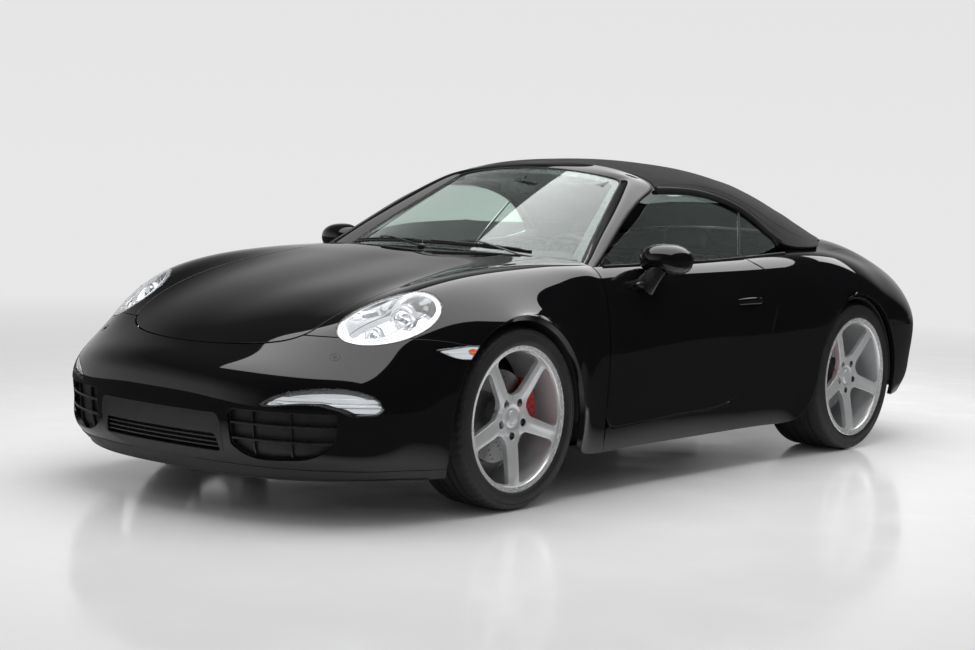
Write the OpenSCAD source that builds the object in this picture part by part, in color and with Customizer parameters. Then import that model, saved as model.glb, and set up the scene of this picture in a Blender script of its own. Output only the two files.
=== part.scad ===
/* [Body] */
// Overall length of the body, mm
body_length = 4491; // [3740:1:5400]
// Width of the body without the mirrors, mm
body_width = 1808; // [1500:1:2170]
// Thickness of the outer body wall, mm
wall = 20; // [14:1:26]
// Shut gap around doors, lids and bumpers, mm
gap = 5; // [4:0.5:8]

/* [Wheels] */
// Height of the front tyre's sidewall, mm
front_sidewall = 63; // [52:1:76]
// Height of the rear tyre's sidewall, mm
rear_sidewall = 67; // [55:1:80]
// Width of the front tyre, mm
front_tyre_w = 244; // [200:1:260]
// Width of the rear tyre, mm
rear_tyre_w = 294; // [240:1:310]
// Radius of the rim flange, mm
rim_r = 271; // [240:1:280]
// Radius of the front brake disc, mm
disc_r = 170; // [142:1:190]
// Gap around the rear tyre in its arch, mm
arch_gap = 14; // [8:1:30]
// Pitch circle of the wheel bolts, mm
bolt_pcd = 130; // [108:1:150]

/* [Cabin] */
// Thickness of the soft top, mm
top_t = 18; // [12:1:24]
// Thickness of the glass panes, mm
glass_t = 5; // [4:0.5:8]
// Width of each front seat, mm
seat_w = 480; // [400:1:576]
// Radius of the steering wheel rim centre line, mm
steering_r = 172; // [143:1:206]

/* [Hidden] */
kx = body_length / 4491;
ky = body_width / 1808;
front_x = 1280;
rear_x = -1170;
front_y = 766;
rear_y = 751;
steps = 2;
front_tyre_r = rim_r + front_sidewall;
rear_tyre_r = rim_r + rear_sidewall;
// Half the width of the tunnel, which gives way to wider seats.
tunnel = 110 - 0.55*(seat_w - 480);
// Gap between panels that are bolted together.
fit = 0.6;

// Section rows of the body skin, from the front lip over the top to the rear lip.
// Each row runs from the centre line out over the shoulder to the lower edge.
body_rows = [
    [[2158,0,150],[2154,150,150],[2138,300,150],[2103,435,151],[2044,566,154],
     [1976,662,157],[1894,738,158],[1800,790,158],[1730,835,158],[1664,862,158]],
    [[2204,0,215],[2200,155,215],[2184,308,215],[2158,455,216],[2104,592,219],
     [2030,696,223],[1940,778,226],[1832,820,228],[1748,856,230],[1664,876,230]],
    [[2226,0,300],[2222,160,300],[2206,318,300],[2170,464,301],[2106,602,303],
     [2024,706,305],[1932,786,306],[1838,838,306],[1748,870,306],[1661,884,306]],
    [[2238,0,400],[2233,160,400],[2214,320,400],[2178,468,399],[2114,608,397],
     [2032,714,394],[1940,794,390],[1842,846,386],[1750,874,380],[1656,888,376]],
    [[2224,0,488],[2219,158,487],[2197,312,485],[2156,458,481],[2092,594,475],
     [2014,696,468],[1926,778,460],[1834,836,450],[1744,872,442],[1643,890,434]],
    [[2172,0,540],[2166,152,540],[2141,300,538],[2098,442,535],[2040,574,530],
     [1974,678,523],[1894,762,514],[1806,828,505],[1720,870,498],[1618,889,494]],
    [[2098,0,578],[2090,146,580],[2062,286,584],[2016,422,590],[1962,546,598],
     [1907,645,600],[1840,736,590],[1764,812,572],[1684,866,558],[1588,889,550]],
    [[2000,0,634],[1992,140,637],[1966,272,643],[1927,398,652],[1882,512,668],
     [1836,608,682],[1780,702,676],[1716,788,646],[1640,858,614],[1545,889,602]],
    [[1850,0,696],[1843,140,699],[1822,272,704],[1790,392,711],[1755,500,728],
     [1718,596,750],[1676,688,750],[1626,782,712],[1560,858,664],[1482,889,651]],
    [[1660,0,750],[1655,142,754],[1640,276,758],[1618,398,763],[1594,506,778],
     [1570,602,800],[1542,694,800],[1508,788,756],[1460,862,700],[1408,891,688]],
    [[1460,0,792],[1457,146,796],[1448,284,800],[1434,412,803],[1418,520,816],
     [1400,614,836],[1382,704,832],[1362,798,784],[1340,868,724],[1316,892,711]],
    [[1260,0,828],[1259,150,831],[1254,294,834],[1246,430,836],[1236,542,846],
     [1226,632,858],[1216,716,850],[1206,804,798],[1196,868,716],[1186,892,698]],
    [[1080,0,857],[1079,155,860],[1076,304,861],[1072,448,861],[1066,566,866],
     [1060,652,871],[1053,730,858],[1045,808,800],[1036,868,660],[1022,892,606]],
    [[940,0,880],[939,160,882],[937,314,882],[934,466,880],[930,592,880],
     [926,676,877],[922,744,860],[918,812,795],[918,870,600],[916,891,434]],
    [[800,0,898],[800,165,899],[799,324,898],[797,482,893],[795,618,886],
     [793,700,878],[791,760,858],[800,824,780],[862,876,430],[893,885,250]],
    [[735,0,901],[735,166,902],[735,326,901],[734,486,895],[732,628,888],
     [731,712,878],[730,770,855],[740,830,770],[800,873,500],[878,869,168]],
    [[640,0,905],[640,168,905],[640,330,903],[640,492,897],[640,640,887],
     [640,726,874],[640,780,848],[640,836,750],[652,872,480],[650,864,167]],
    [[400,0,908],[400,168,908],[400,332,906],[400,494,900],[400,648,889],
     [400,738,873],[400,792,844],[400,842,740],[400,871,470],[400,860,168]],
    [[120,0,910],[120,168,910],[120,332,908],[120,494,902],[120,646,892],
     [120,738,877],[120,796,846],[120,846,742],[120,872,470],[120,858,168]],
    [[-160,0,912],[-160,168,912],[-160,332,910],[-160,494,905],[-160,644,896],
     [-160,734,884],[-160,794,854],[-160,848,752],[-160,876,480],[-160,860,170]],
    [[-440,0,918],[-440,168,918],[-440,332,916],[-440,494,912],[-440,640,905],
     [-440,726,896],[-440,790,866],[-440,852,768],[-440,886,500],[-440,866,172]],
    [[-640,0,926],[-640,168,926],[-640,332,924],[-640,494,919],[-640,636,912],
     [-640,722,905],[-640,788,878],[-640,856,784],[-640,893,520],[-640,872,176]],
    [[-820,0,936],[-820,168,936],[-820,332,934],[-820,492,930],[-820,632,922],
     [-820,718,910],[-820,786,885],[-815,860,796],[-805,898,580],[-790,896,262]],
    [[-990,0,950],[-990,168,950],[-990,332,947],[-990,490,941],[-990,628,930],
     [-990,714,911],[-990,786,884],[-985,862,802],[-975,901,680],[-950,902,644]],
    [[-1170,0,960],[-1170,168,960],[-1170,330,957],[-1170,486,949],[-1170,622,932],
     [-1170,708,904],[-1170,782,872],[-1170,862,798],[-1170,901,728],[-1170,903,713]],
    [[-1350,0,975],[-1350,165,974],[-1350,326,971],[-1350,478,961],[-1350,612,934],
     [-1350,700,886],[-1348,776,846],[-1340,854,776],[-1312,893,722],[-1262,902,701]],
    [[-1520,0,965],[-1520,162,964],[-1520,320,960],[-1520,468,949],[-1522,600,918],
     [-1524,688,858],[-1518,766,808],[-1492,842,740],[-1432,890,691],[-1345,902,670]],
    [[-1680,0,936],[-1681,158,935],[-1684,312,931],[-1690,456,918],[-1696,584,884],
     [-1702,668,829],[-1694,748,774],[-1652,828,698],[-1556,882,648],[-1416,902,620]],
    [[-1840,0,896],[-1841,154,894],[-1845,304,888],[-1852,442,874],[-1860,562,842],
     [-1864,646,795],[-1850,730,728],[-1790,814,650],[-1664,874,596],[-1470,901,562]],
    [[-1990,0,838],[-1991,150,836],[-1995,296,829],[-2001,430,814],[-2005,546,786],
     [-1996,636,742],[-1968,716,674],[-1890,800,596],[-1740,866,540],[-1510,900,500]],
    [[-2100,0,770],[-2100,146,768],[-2100,288,761],[-2098,420,746],[-2080,534,716],
     [-2052,606,680],[-2008,694,614],[-1924,784,538],[-1770,860,482],[-1533,899,442]],
    [[-2180,0,672],[-2178,144,671],[-2170,286,665],[-2152,416,652],[-2106,512,628],
     [-2068,586,596],[-2018,664,548],[-1938,760,480],[-1790,850,428],[-1544,897,390]],
    [[-2225,0,560],[-2221,146,560],[-2206,288,556],[-2176,418,548],[-2116,506,532],
     [-2072,580,510],[-2020,654,478],[-1940,746,424],[-1800,840,376],[-1550,894,342]],
    [[-2236,0,440],[-2232,146,440],[-2215,288,438],[-2180,416,434],[-2116,504,426],
     [-2072,576,416],[-2020,648,400],[-1942,738,366],[-1806,832,328],[-1554,890,300]],
    [[-2212,0,340],[-2208,144,340],[-2191,284,338],[-2157,408,334],[-2096,496,328],
     [-2056,566,324],[-2006,638,316],[-1930,726,302],[-1800,822,282],[-1558,884,264]],
    [[-2150,0,235],[-2146,140,235],[-2130,274,234],[-2104,390,232],[-2062,474,230],
     [-2024,540,229],[-1976,612,228],[-1904,698,226],[-1780,798,225],[-1560,876,228]],
];

// Rows of the folded-up soft top, from the screen header to its rear hem.
top_rows = [
    [[40,0,1268],[38,200,1262],[34,360,1246],[28,480,1224],[30,548,1196],[60,592,1166]],
    [[-60,0,1284],[-60,200,1278],[-60,360,1262],[-60,480,1238],[-58,560,1206],[-50,606,1166]],
    [[-200,0,1290],[-200,200,1284],[-200,365,1268],[-200,488,1242],[-200,572,1206],[-200,615,1160]],
    [[-400,0,1284],[-400,205,1278],[-400,372,1261],[-400,500,1232],[-398,590,1188],[-394,634,1126]],
    [[-620,0,1258],[-620,210,1250],[-618,385,1229],[-610,520,1192],[-598,614,1136],[-580,664,1058]],
    [[-840,0,1216],[-840,215,1208],[-835,395,1184],[-820,540,1138],[-785,640,1062],[-731,712,952]],
    [[-1060,0,1162],[-1058,220,1152],[-1048,410,1120],[-1025,560,1062],[-985,660,992],[-930,722,932]],
    [[-1250,0,1100],[-1247,225,1090],[-1232,415,1058],[-1200,560,1008],[-1150,644,962],[-1090,704,934]],
    [[-1400,0,1036],[-1394,225,1029],[-1372,400,1009],[-1325,530,982],[-1260,604,956],[-1200,650,940]],
    [[-1490,0,990],[-1476,225,988],[-1445,390,980],[-1385,510,966],[-1340,556,958],[-1300,590,950]],
];

// Outlines: the plan ones hold [x, y], the side ones [x, z].
hood_half = [[2088,0],[2082,120],[2062,230],[2020,345],[1978,412],[1934,450],[1860,470],
    [1700,490],[1400,514],[1100,537],[900,549],[738,555],[745,520],[800,340],[842,180],[859,0]];
lid_half = [[-1560,0],[-1560,300],[-1566,430],[-1590,480],[-1700,505],[-1860,520],
    [-1985,500],[-2016,440],[-2030,300],[-2036,0]];
deck_half = [[-1240,0],[-1240,690],[-1330,664],[-1450,640],[-1600,618],[-1760,600],
    [-1900,580],[-2010,540],[-2060,300],[-2066,0]];
hem_half = [[-1100,0],[-1100,700],[-1204,646],[-1304,586],[-1344,552],[-1389,506],[-1449,387],
    [-1480,225],[-1494,0]];
door_side = [[708,960],[711,800],[716,600],[730,400],[737,310],[728,272],[700,257],[600,256],
    [250,270],[-91,286],[-170,304],[-244,359],[-330,450],[-420,560],[-486,680],[-505,750],
    [-500,790],[-481,816],[-440,846],[-390,874],[-340,960]];
cabin_half = [[690,0],[690,690],[600,735],[400,757],[120,757],[-400,757],[-640,745],[-760,730],
    [-900,718],[-1060,704],[-1180,652],[-1290,590],[-1330,560],[-1380,512],[-1440,390],[-1470,0]];
lamp_side = [[2400,0],[2400,630],[1900,632],[1700,636],[1500,606],[1380,606],[1380,0]];
tail_side = [[-2400,0],[-2400,668],[-2060,668],[-1930,640],[-1800,596],[-1560,566],[-1440,566],
    [-1440,0]];
lamp_c = [1745, 655];
lamp_a = [187, 100];
lamp_turn = 147;

function ghost(p) = let(n = len(p) - 1)
    concat([2*p[0] - p[1]], p, [2*p[n] - p[n-1]]);
function weights(t) = [pow(1-t,3), 3*t*t*t - 6*t*t + 4, -3*t*t*t + 3*t*t + 3*t + 1, t*t*t] / 6;
// A smooth curve that passes close to every point of p, n steps per span.
function curve(p, n) =
    let(g = ghost(p), m = len(p),
        q = [for (i = [0:m+1]) i == 0 || i == m+1 ? g[i] : g[i] - (g[i-1] - 2*g[i] + g[i+1])/6])
    concat([for (i = [0:m-2], k = [0:n-1]) weights(k/n) * [q[i], q[i+1], q[i+2], q[i+3]]],
        [p[m-1]]);
function mirror_row(r) = concat([for (i = [len(r)-1:-1:1]) [r[i].x, -r[i].y, r[i].z]], r);
function column(g, j) = [for (r = g) r[j]];
function transpose(g) = [for (j = [0:len(g[0])-1]) column(g, j)];
function net(rows, a, b) =
    transpose([for (c = transpose([for (r = rows) curve(r, b)])) curve(c, a)]);
function unit(v) = v / max(norm(v), 1e-9);
function normal(g, i, j) = let(n = len(g)-1, m = len(g[0])-1)
    unit(cross(g[i][min(j+1,m)] - g[i][max(j-1,0)], g[min(i+1,n)][j] - g[max(i-1,0)][j]));
// Share of a sideways direction in the wall's direction, k samples in from the lower edge.
function sideways(k) = k < 2 ? 1 : k == 2 ? 0.6 : k == 3 ? 0.3 : 0;
function edge_normal(g, i, j, e) = let(w = e ? sideways(min(j, len(g[0])-1-j)) : 0)
    w > 0 ? unit((1-w)*normal(g, i, j) + [0, w*sign(g[i][j].y), 0]) : normal(g, i, j);
function shift(g, d, e) = [for (i = [0:len(g)-1]) [for (j = [0:len(g[0])-1])
    g[i][j] + d * edge_normal(g, i, j, e)]];
function rows_of(g, a, b) = [for (i = [a:b]) g[i]];
function half_plan(h) = concat(h, [for (i = [len(h)-1:-1:0]) if (h[i].y > 0) [h[i].x, -h[i].y]]);

// Solid between two offsets of a surface net; e keeps its lower edges level with the skin's.
module slab(g, d0, d1, e = false) {
    n = len(g);
    m = len(g[0]);
    k = n * m;
    pts = concat([for (r = shift(g, d0, e)) each r], [for (r = shift(g, d1, e)) each r]);
    faces = concat(
        [for (i = [0:n-2], j = [0:m-2], h = [0,1]) let(a = i*m+j)
            h == 0 ? [a, a+m, a+1] : [a+1, a+m, a+m+1]],
        [for (i = [0:n-2], j = [0:m-2], h = [0,1]) let(a = k+i*m+j)
            h == 0 ? [a, a+1, a+m] : [a+1, a+m+1, a+m]],
        [for (i = [0:n-2], h = [0,1]) let(a = i*m)
            h == 0 ? [a, k+a, a+m] : [a+m, k+a, k+a+m]],
        [for (i = [0:n-2], h = [0,1]) let(a = i*m+m-1)
            h == 0 ? [a, a+m, k+a] : [a+m, k+a+m, k+a]],
        [for (j = [0:m-2], h = [0,1]) h == 0 ? [j, j+1, k+j] : [j+1, k+j+1, k+j]],
        [for (j = [0:m-2], h = [0,1]) let(a = (n-1)*m+j)
            h == 0 ? [a, k+a, a+1] : [a+1, k+a, k+a+1]]);
    polyhedron(pts, faces, convexity = 8);
}

skin = net([for (r = body_rows) mirror_row(r)], steps, 2);
cloth = net([for (r = top_rows) mirror_row(r)], 1, 2);

module both() {
    children();
    mirror([0, 1, 0]) children();
}
module plan(h, grow = 0, z0 = 0, z1 = 1400)
    translate([0, 0, z0]) linear_extrude(z1 - z0) offset(delta = grow) polygon(half_plan(h));
module side(p, grow = 0, y0 = -1000, y1 = 1000)
    translate([0, y1, 0]) rotate([90, 0, 0]) linear_extrude(y1 - y0) offset(delta = grow)
        polygon(p);
module doors_cut(grow) both() side(door_side, grow, 560, 1000);
module lamp_cut(grow) both() translate([lamp_c.x, lamp_c.y, 400]) rotate([0, 0, lamp_turn])
    linear_extrude(600) scale([1 + grow/lamp_a.x, 1 + grow/lamp_a.y])
        polygon([for (a = [0:15:345]) [lamp_a.x*cos(a), lamp_a.y*sin(a)]]);
module fitted() scale([kx, ky, 1]) children();

module front(p, grow = 0, x0 = 0, x1 = 2400)
    translate([x0, 0, 0]) rotate([90, 0, 90]) linear_extrude(x1 - x0) offset(delta = grow)
        polygon(p);

nose = rows_of(skin, 0, 16*steps);
nose_core = net([for (i = [0:16]) mirror_row(body_rows[i])], 1, 1);
middle = rows_of(skin, 13*steps, 23*steps);
rear = rows_of(skin, 14*steps, 35*steps);
cowl_half = [[808,0],[804,129],[789,258],[759,387],[713,516],[654,636],[660,660],[715,625],
    [732,561],[739,520],[794,340],[836,180],[853,0]];
fender_side = [[713,1000],[716,800],[721,600],[735,400],[742,310],[742,100],[2400,100],
    [2400,1000]];
quarter_side = [[741.6,252],[741.6,100],[-2400,100],[-2400,1000],[690,1000],[690,252]];
intake = [[345,386],[352,262],[400,232],[545,222],[636,238],[682,272],[700,330],[702,386]];
low_intake = [[-285,292],[285,292],[300,232],[-300,232]];
day_lamp = [[450,400],[500,436],[570,462],[650,474],[730,468],[790,436],[806,404],[792,386],
    [728,386],[706,400]];
tail_lamp = [[420,676],[420,708],[560,718],[745,728],[765,700],[748,676]];
pipe_notch = [[330,100],[330,300],[350,318],[490,318],[510,300],[510,100]];

module skin_cuts(grow) {
    plan(hood_half, grow, 500);
    doors_cut(grow);
    lamp_cut(fit);
}
module front_fenders() color([0.05, 0.05, 0.06]) fitted() resize([0, 0, 0]) difference() {
    intersection() {
        slab(nose, 0, -wall, true);
        side(fender_side);
    }
    skin_cuts(gap);
    side(lamp_side, fit);
    plan(cowl_half, 4, 700);
    translate([600, -545, 700]) cube([260, 1090, 400]);
}
module rear_quarters() color([0.05, 0.05, 0.06]) fitted() resize([0, 0, 0]) difference() {
    intersection() {
        slab(rear, 0, -wall, true);
        side(quarter_side);
    }
    doors_cut(gap);
    side(tail_side, fit);
    plan(deck_half, fit, 600);
    plan(cabin_half, 0, 500);
    plan(hem_half, -14, 500);
    both() front(tail_lamp, fit, -2400, -1900);
    both() translate([rear_x, 560, rear_tyre_r]) rotate([-90, 0, 0])
        cylinder(r = rear_tyre_r + arch_gap, h = 400, $fn = 96);
}
module deck_cover() color([0.05, 0.05, 0.06]) fitted() resize([0, 0, 0]) difference() {
    intersection() {
        slab(rear, 0, -wall, true);
        plan(deck_half, 0, 672);
    }
    plan(lid_half, gap, 500);
    plan(hem_half, -14, 500);
    both() front(tail_lamp, fit, -2400, -1900);
}
module engine_lid() color([0.05, 0.05, 0.06]) fitted() resize([0, 0, 0]) intersection() {
    slab(rear, 0, -wall, true);
    plan(lid_half, 0, 672);
}
module hood() color([0.05, 0.05, 0.06]) fitted() resize([0, 0, 0]) intersection() {
    slab(nose, 0, -wall, true);
    plan(hood_half, 0, 500);
}
module front_bumper() color([0.05, 0.05, 0.06]) fitted() resize([0, 0, 0]) difference() {
    intersection() {
        slab(nose, 0, -wall, true);
        side(lamp_side);
    }
    plan(hood_half, gap, 500);
    lamp_cut(fit);
    both() front(intake, 0, 1830);
    both() front(day_lamp, fit, 1790);
    front(low_intake, 0, 1830);
}
module rear_bumper() color([0.05, 0.05, 0.06]) fitted() resize([0, 0, 0]) difference() {
    intersection() {
        slab(rear, 0, -wall, true);
        side(tail_side);
    }
    both() front(pipe_notch, 0, -2400, -1900);
    both() front(tail_lamp, fit, -2400, -1900);
    plan(deck_half, fit, 672);
}
module bumper_grilles() color([0.08, 0.08, 0.08]) fitted() resize([0, 0, 0]) union() {
    intersection() {
        slab(nose_core, -6, -wall - 7, true);
        translate([2100, -4.5, 200]) cube([200, 9, 91.6]);
    }
    intersection() {
        slab(nose_core, -wall - 6, -wall - 11, true);
        union() {
            both() front(intake, 9, 1830);
            front(low_intake, 9, 1830);
        }
    }
    intersection() {
        slab(nose_core, -6, -wall - 7, true);
        for (z = [280, 334]) both() translate([1830, 346, z]) cube([500, 420, 9]);
        both() front(intake, -0.4, 1830);
    }
}
module headlamps() color([0.8, 0.85, 0.9, 0.4]) fitted() resize([0, 0, 0]) intersection() {
    slab(nose, 0, -6, true);
    lamp_cut(0);
}
module bumper_lamps() color([0.8, 0.85, 0.9, 0.4]) fitted() resize([0, 0, 0]) intersection() {
    slab(nose, 0, -6, true);
    both() front(day_lamp, 0, 1790);
}
module lamp_housings() color([0.2, 0.2, 0.22]) fitted() resize([0, 0, 0]) union() {
    difference() {
        intersection() {
            slab(nose_core, -10, -48, true);
            lamp_cut(0);
        }
        intersection() {
            slab(nose_core, -1, -42, true);
            lamp_cut(-6);
        }
    }
    difference() {
        intersection() {
            slab(nose_core, -10, -38, true);
            both() front(day_lamp, 0, 1790);
        }
        intersection() {
            slab(nose_core, -1, -32, true);
            both() front(day_lamp, -5, 1790);
        }
    }
}
module tail_lamps() color([0.5, 0.03, 0.03, 0.6]) fitted() resize([0, 0, 0]) intersection() {
    slab(rear, 0, -wall, true);
    both() front(tail_lamp, 0, -2400, -1900);
}

// Side glass plane, leaning in towards the roof.
function glass_y(x, z) = 748 - 0.487*(z - 855) - (x > 0 ? 22*x*x/458000 : 0)
    + 7*(1 - pow((z - 1000)/160, 2));
side_glass = [for (x = [720:-80:-800]) [for (z = [1190:-56:798]) [x, glass_y(x, z), z]]];
door_glass = [[640,806],[640,860],[560,908],[300,1036],[116,1128],[60,1140],[0,1146],[-150,1146],
    [-300,1134],[-400,1118],[-498,1092],[-366,880],[-330,806]];
rear_glass = [[-505,1090],[-600,1050],[-680,990],[-722,936],[-640,916],[-382,884]];

module pane(outline) intersection() {
    slab(side_glass, 0, -glass_t);
    side(outline, 0, 500, 1000);
}
module under_cloth() resize([0, 0, 0]) difference() {
    children();
    slab(cloth, 9, -top_t - 9);
}
module left_window() color([0.5, 0.6, 0.6, 0.35]) fitted() under_cloth() pane(door_glass);
module right_window() color([0.5, 0.6, 0.6, 0.35]) fitted() under_cloth()
    mirror([0, 1, 0]) pane(door_glass);
module quarter_windows() color([0.5, 0.6, 0.6, 0.35]) fitted() both()
    resize([0, 0, 0]) pane(rear_glass);

door_inner = [[668,960],[668,330],[640,286],[560,276],[250,290],[-80,310],[-138,334],[-205,384],
    [-298,468],[-400,570],[-464,690],[-484,750],[-478,784],[-460,802],[-420,830],[-370,858],
    [-330,960]];
module door_shell() resize([0, 0, 0]) difference() {
    union() {
        intersection() {
            slab(middle, 0, -10, true);
            side(door_side, 0, 757);
        }
        intersection() {
            slab(middle, -8, -62, true);
            side(door_inner, 0, 700);
            translate([-700, 690, 200]) cube([1400, 300, 640]);
        }
        intersection() {
            translate([-292, 684, 321]) cube([888, 150, 490]);
            side(door_inner, 0, 600);
        }
        translate([-160, 630, 561]) cube([520, 60, 58]);
    }
    intersection() {
        slab(side_glass, 7, -12);
        translate([-396, 500, 820]) cube([1030, 500, 400]);
    }
}
module left_door() color([0.05, 0.05, 0.06]) fitted() door_shell();
module right_door() mirror([0, 1, 0]) left_door();

module left_mirror() color([0.05, 0.05, 0.06]) fitted() {
    hull() {
        translate([455, 900, 900]) scale([0.8, 1.3, 1]) sphere(r = 62, $fn = 20);
        translate([395, 906, 902]) scale([0.3, 1.4, 1]) sphere(r = 68, $fn = 20);
    }
    hull() {
        translate([470, 872, 860]) sphere(r = 16, $fn = 16);
        translate([520, 812, 842]) sphere(r = 16, $fn = 16);
    }
}
module right_mirror() mirror([0, 1, 0]) left_mirror();

// Windscreen: u runs up the glass, v from the centre to the pillar.
function screen(u, v) = let(
        c = [800 - 688*u, 0, 893 + 347*u + 44*u*(1-u)],
        s = [640 - 540*u, 0, 858 + 340*u + 32*u*(1-u)],
        y = 645 - 205*u,
        m = c + (s - c)*pow(abs(v), 2.3))
    [m.x, y*v, m.z];
glass_net = [for (u = [0:0.1414:0.99]) [for (v = [-7:7]) screen(u, 0.1414*v)]];
pillar = [
    [[738,664,826],[744,700,830],[746,736,818]],
    [screen(0, 1), [668,692,868], [694,737,850]],
    [screen(0.25, 1), [528,650,964], [546,699,936]],
    [screen(0.5, 1), [388,606,1048], [398,654,1026]],
    [screen(0.75, 1), [248,558,1130], [250,616,1106]],
    [screen(0.92, 1), [150,520,1184], [142,590,1148]],
    [screen(1, 0.97), [86,476,1214], [50,556,1192]],
    [screen(1, 0.75), [80,338,1236], [40,350,1249]],
    [screen(1, 0.36), [84,162,1251], [40,165,1265]],
    [screen(1, 0), [85,0,1257], [40,0,1269]]];
hoop = net(concat(pillar, [for (i = [8:-1:0]) [for (p = pillar[i]) [p.x, -p.y, p.z]]]), 2, 3);
module windscreen() color([0.5, 0.6, 0.6, 0.35]) fitted() slab(glass_net, 0, -glass_t);
module windscreen_frame() color([0.05, 0.05, 0.06]) fitted() {
    slab(hoop, 0, -16);
    resize([0, 0, 0]) intersection() {
        slab(rows_of(skin, 13*steps, 18*steps), -2, -wall);
        plan(cowl_half, 0, 700);
    }
}
module soft_top() color([0.12, 0.12, 0.13]) fitted() resize([0, 0, 0]) difference() {
    slab(cloth, 0, -top_t);
    translate([-1230, -370, 900]) cube([250, 740, 300]);
}
module rear_window() color([0.4, 0.45, 0.45, 0.35]) fitted() resize([0, 0, 0]) intersection() {
    slab(cloth, -4, -4 - glass_t);
    translate([-1229.7, -369.7, 900]) cube([249.4, 739.4, 300]);
}

// Tub: floor, sills, posts, bulkheads, tunnel and the four wheelhouses.
module wheelhouse(x, y0, y1, z, r) translate([x, y0, z]) rotate([-90, 0, 0]) difference() {
    cylinder(r = r + 7, h = y1 - y0, $fn = 96);
    translate([0, 0, 6]) cylinder(r = r, h = y1 - y0, $fn = 96);
    translate([-r - 20, 40, -1]) cube([2*r + 40, r + 20, y1 - y0 + 2]);
    translate([0, 0, -1]) cylinder(r = 70, h = 12, $fn = 64);
}
module floor_pan() color([0.09, 0.09, 0.09]) fitted() {
    difference() {
        union() {
            translate([-760, -800, 168]) cube([1640, 1600, 22]);
            both() translate([-740, 655, 189]) cube([1430, 130, 56]);
            both() translate([715, 660, 189]) cube([120, 120, 616]);
            both() translate([690.3, 600, 620]) cube([60, 70, 180]);
            both() translate([-790, 655, 189]) cube([280, 150, 560]);
            translate([-760, -tunnel, 189]) cube([1660, 2*tunnel, 190]);
            translate([880, -455, 168]) cube([14, 910, 640]);
            translate([893, -440, 300]) cube([940, 880, 12]);
            both() translate([893, 428, 300]) cube([940, 20, 280]);
            translate([1820, -440, 300]) cube([13, 880, 240]);
            translate([-1010, -590, 168]) cube([14, 1180, 700]);
            translate([-1000, -590, 168]) cube([250, 1180, 260]);
            both() translate([-1940, 330, 420]) cube([944, 60, 90]);
            translate([-1960, -600, 420]) cube([40, 1200, 120]);
            both() translate([1833, 300, 330]) cube([200, 60, 70]);
            translate([2033, -480, 320]) cube([40, 960, 90]);
            translate([2072, -50, 340]) cube([142, 100, 50]);
        }
        translate([-770, 20 - tunnel, 100]) cube([1700, 2*tunnel - 40, 260]);
        both() for (x = [-600, 600]) translate([x, 720, 160]) cylinder(r = 13, h = 90, $fn = 48);
    }
    both() wheelhouse(front_x, front_y - (front_tyre_w/2 + 198)/ky, 866, front_tyre_r, 363);
    both() wheelhouse(rear_x, rear_y - (rear_tyre_w/2 + 18)/ky, 878, rear_tyre_r, 358);
}

module seat(w) {
    rotate([90, 0, 0]) translate([0, 0, -w/2]) linear_extrude(w)
        polygon([[210,250],[220,350],[190,392],[-180,352],[-260,380],[-430,900],[-470,930],
            [-530,920],[-545,880],[-360,260]]);
    for (s = [-1, 1]) translate([0, s*(w/2 - 35), 0]) rotate([90, 0, 0])
        translate([0, 0, -35]) linear_extrude(70)
            polygon([[190,340],[160,420],[-160,400],[-230,440],[-380,800],[-440,880],
                [-440,860],[-270,340]]);
    translate([-520, -120, 900]) rotate([0, -12, 0]) cube([70, 240, 110]);
    for (s = [-1, 1]) translate([-340, s*(w/2 - 70) - 20, 190.3])
        cube([500, 40, 78.7]);
}
module front_seats() color([0.09, 0.09, 0.1]) fitted() both()
    translate([0, tunnel + 20 + seat_w/2, 0]) seat(seat_w);
module rear_seats() color([0.09, 0.09, 0.1]) fitted() both() translate([0, 300, 0])
    rotate([90, 0, 0]) translate([0, 0, -190]) linear_extrude(380)
        polygon([[-640,428.3],[-640,490],[-840,470],[-950,860],[-990,860],[-990,428.3]]);
module dashboard() color([0.07, 0.07, 0.07]) fitted() {
    rotate([90, 0, 0]) translate([0, 0, -640]) linear_extrude(1280)
        polygon([[600,590],[690,690],[690,840],[640,846],[500,868],[440,850],[414,790],[450,690],[520,600]]);
    translate([262, -tunnel, 408]) rotate([0, 28, 0]) cube([60, 2*tunnel, 350]);
    translate([-260, 15 - tunnel, 379.3]) cube([700, 2*tunnel - 30, 60]);
    translate([0, -18, 436]) cube([40, 36, 70]);
}
// The column ends just short of the dash, which moves with the length of the body.
column = 112 + 114*(kx - 1)/sin(68);
module steering_wheel() color([0.07, 0.07, 0.07])
    translate([300*kx, 370*ky, 800]) rotate([0, -68, 0]) {
        rotate_extrude($fn = 64) translate([steering_r, 0]) circle(r = 16, $fn = 24);
        cylinder(r = 62, h = 40, center = true, $fn = 48);
        for (a = [90, 180, 270]) rotate([0, 0, a]) translate([55, -18, -7])
            cube([steering_r - 62, 36, 14]);
        translate([0, 0, -column]) cylinder(r = 30, h = column - 18, $fn = 32);
    }
module wipers() color([0.03, 0.03, 0.03]) fitted() {
    for (w = [[-60, -10], [480, 0]]) translate([796 - w[0]*w[0]/3600, w[0], 898]) {
        translate([0, 0, -22]) cylinder(r = 14, h = 38, $fn = 24);
        rotate([0, 0, w[1]]) translate([-8, -430, 8]) cube([16, 440, 8]);
    }
}
module engine() color([0.35, 0.35, 0.36]) fitted()
    translate([-1900, -329.7, 250]) cube([560, 659.4, 380]);
module exhaust() color([0.6, 0.6, 0.6]) fitted() {
    translate([-2060, -470, 240]) cube([110, 940, 90]);
    both() translate([-1951, 200, 262]) cube([50.7, 60, 50]);
    both() for (y = [375, 462]) translate([-2060, y, 268]) rotate([0, -90, 0]) difference() {
        cylinder(r = 38, h = 110, $fn = 48);
        translate([0, 0, 20]) cylinder(r = 34, h = 100, $fn = 48);
    }
}
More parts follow.
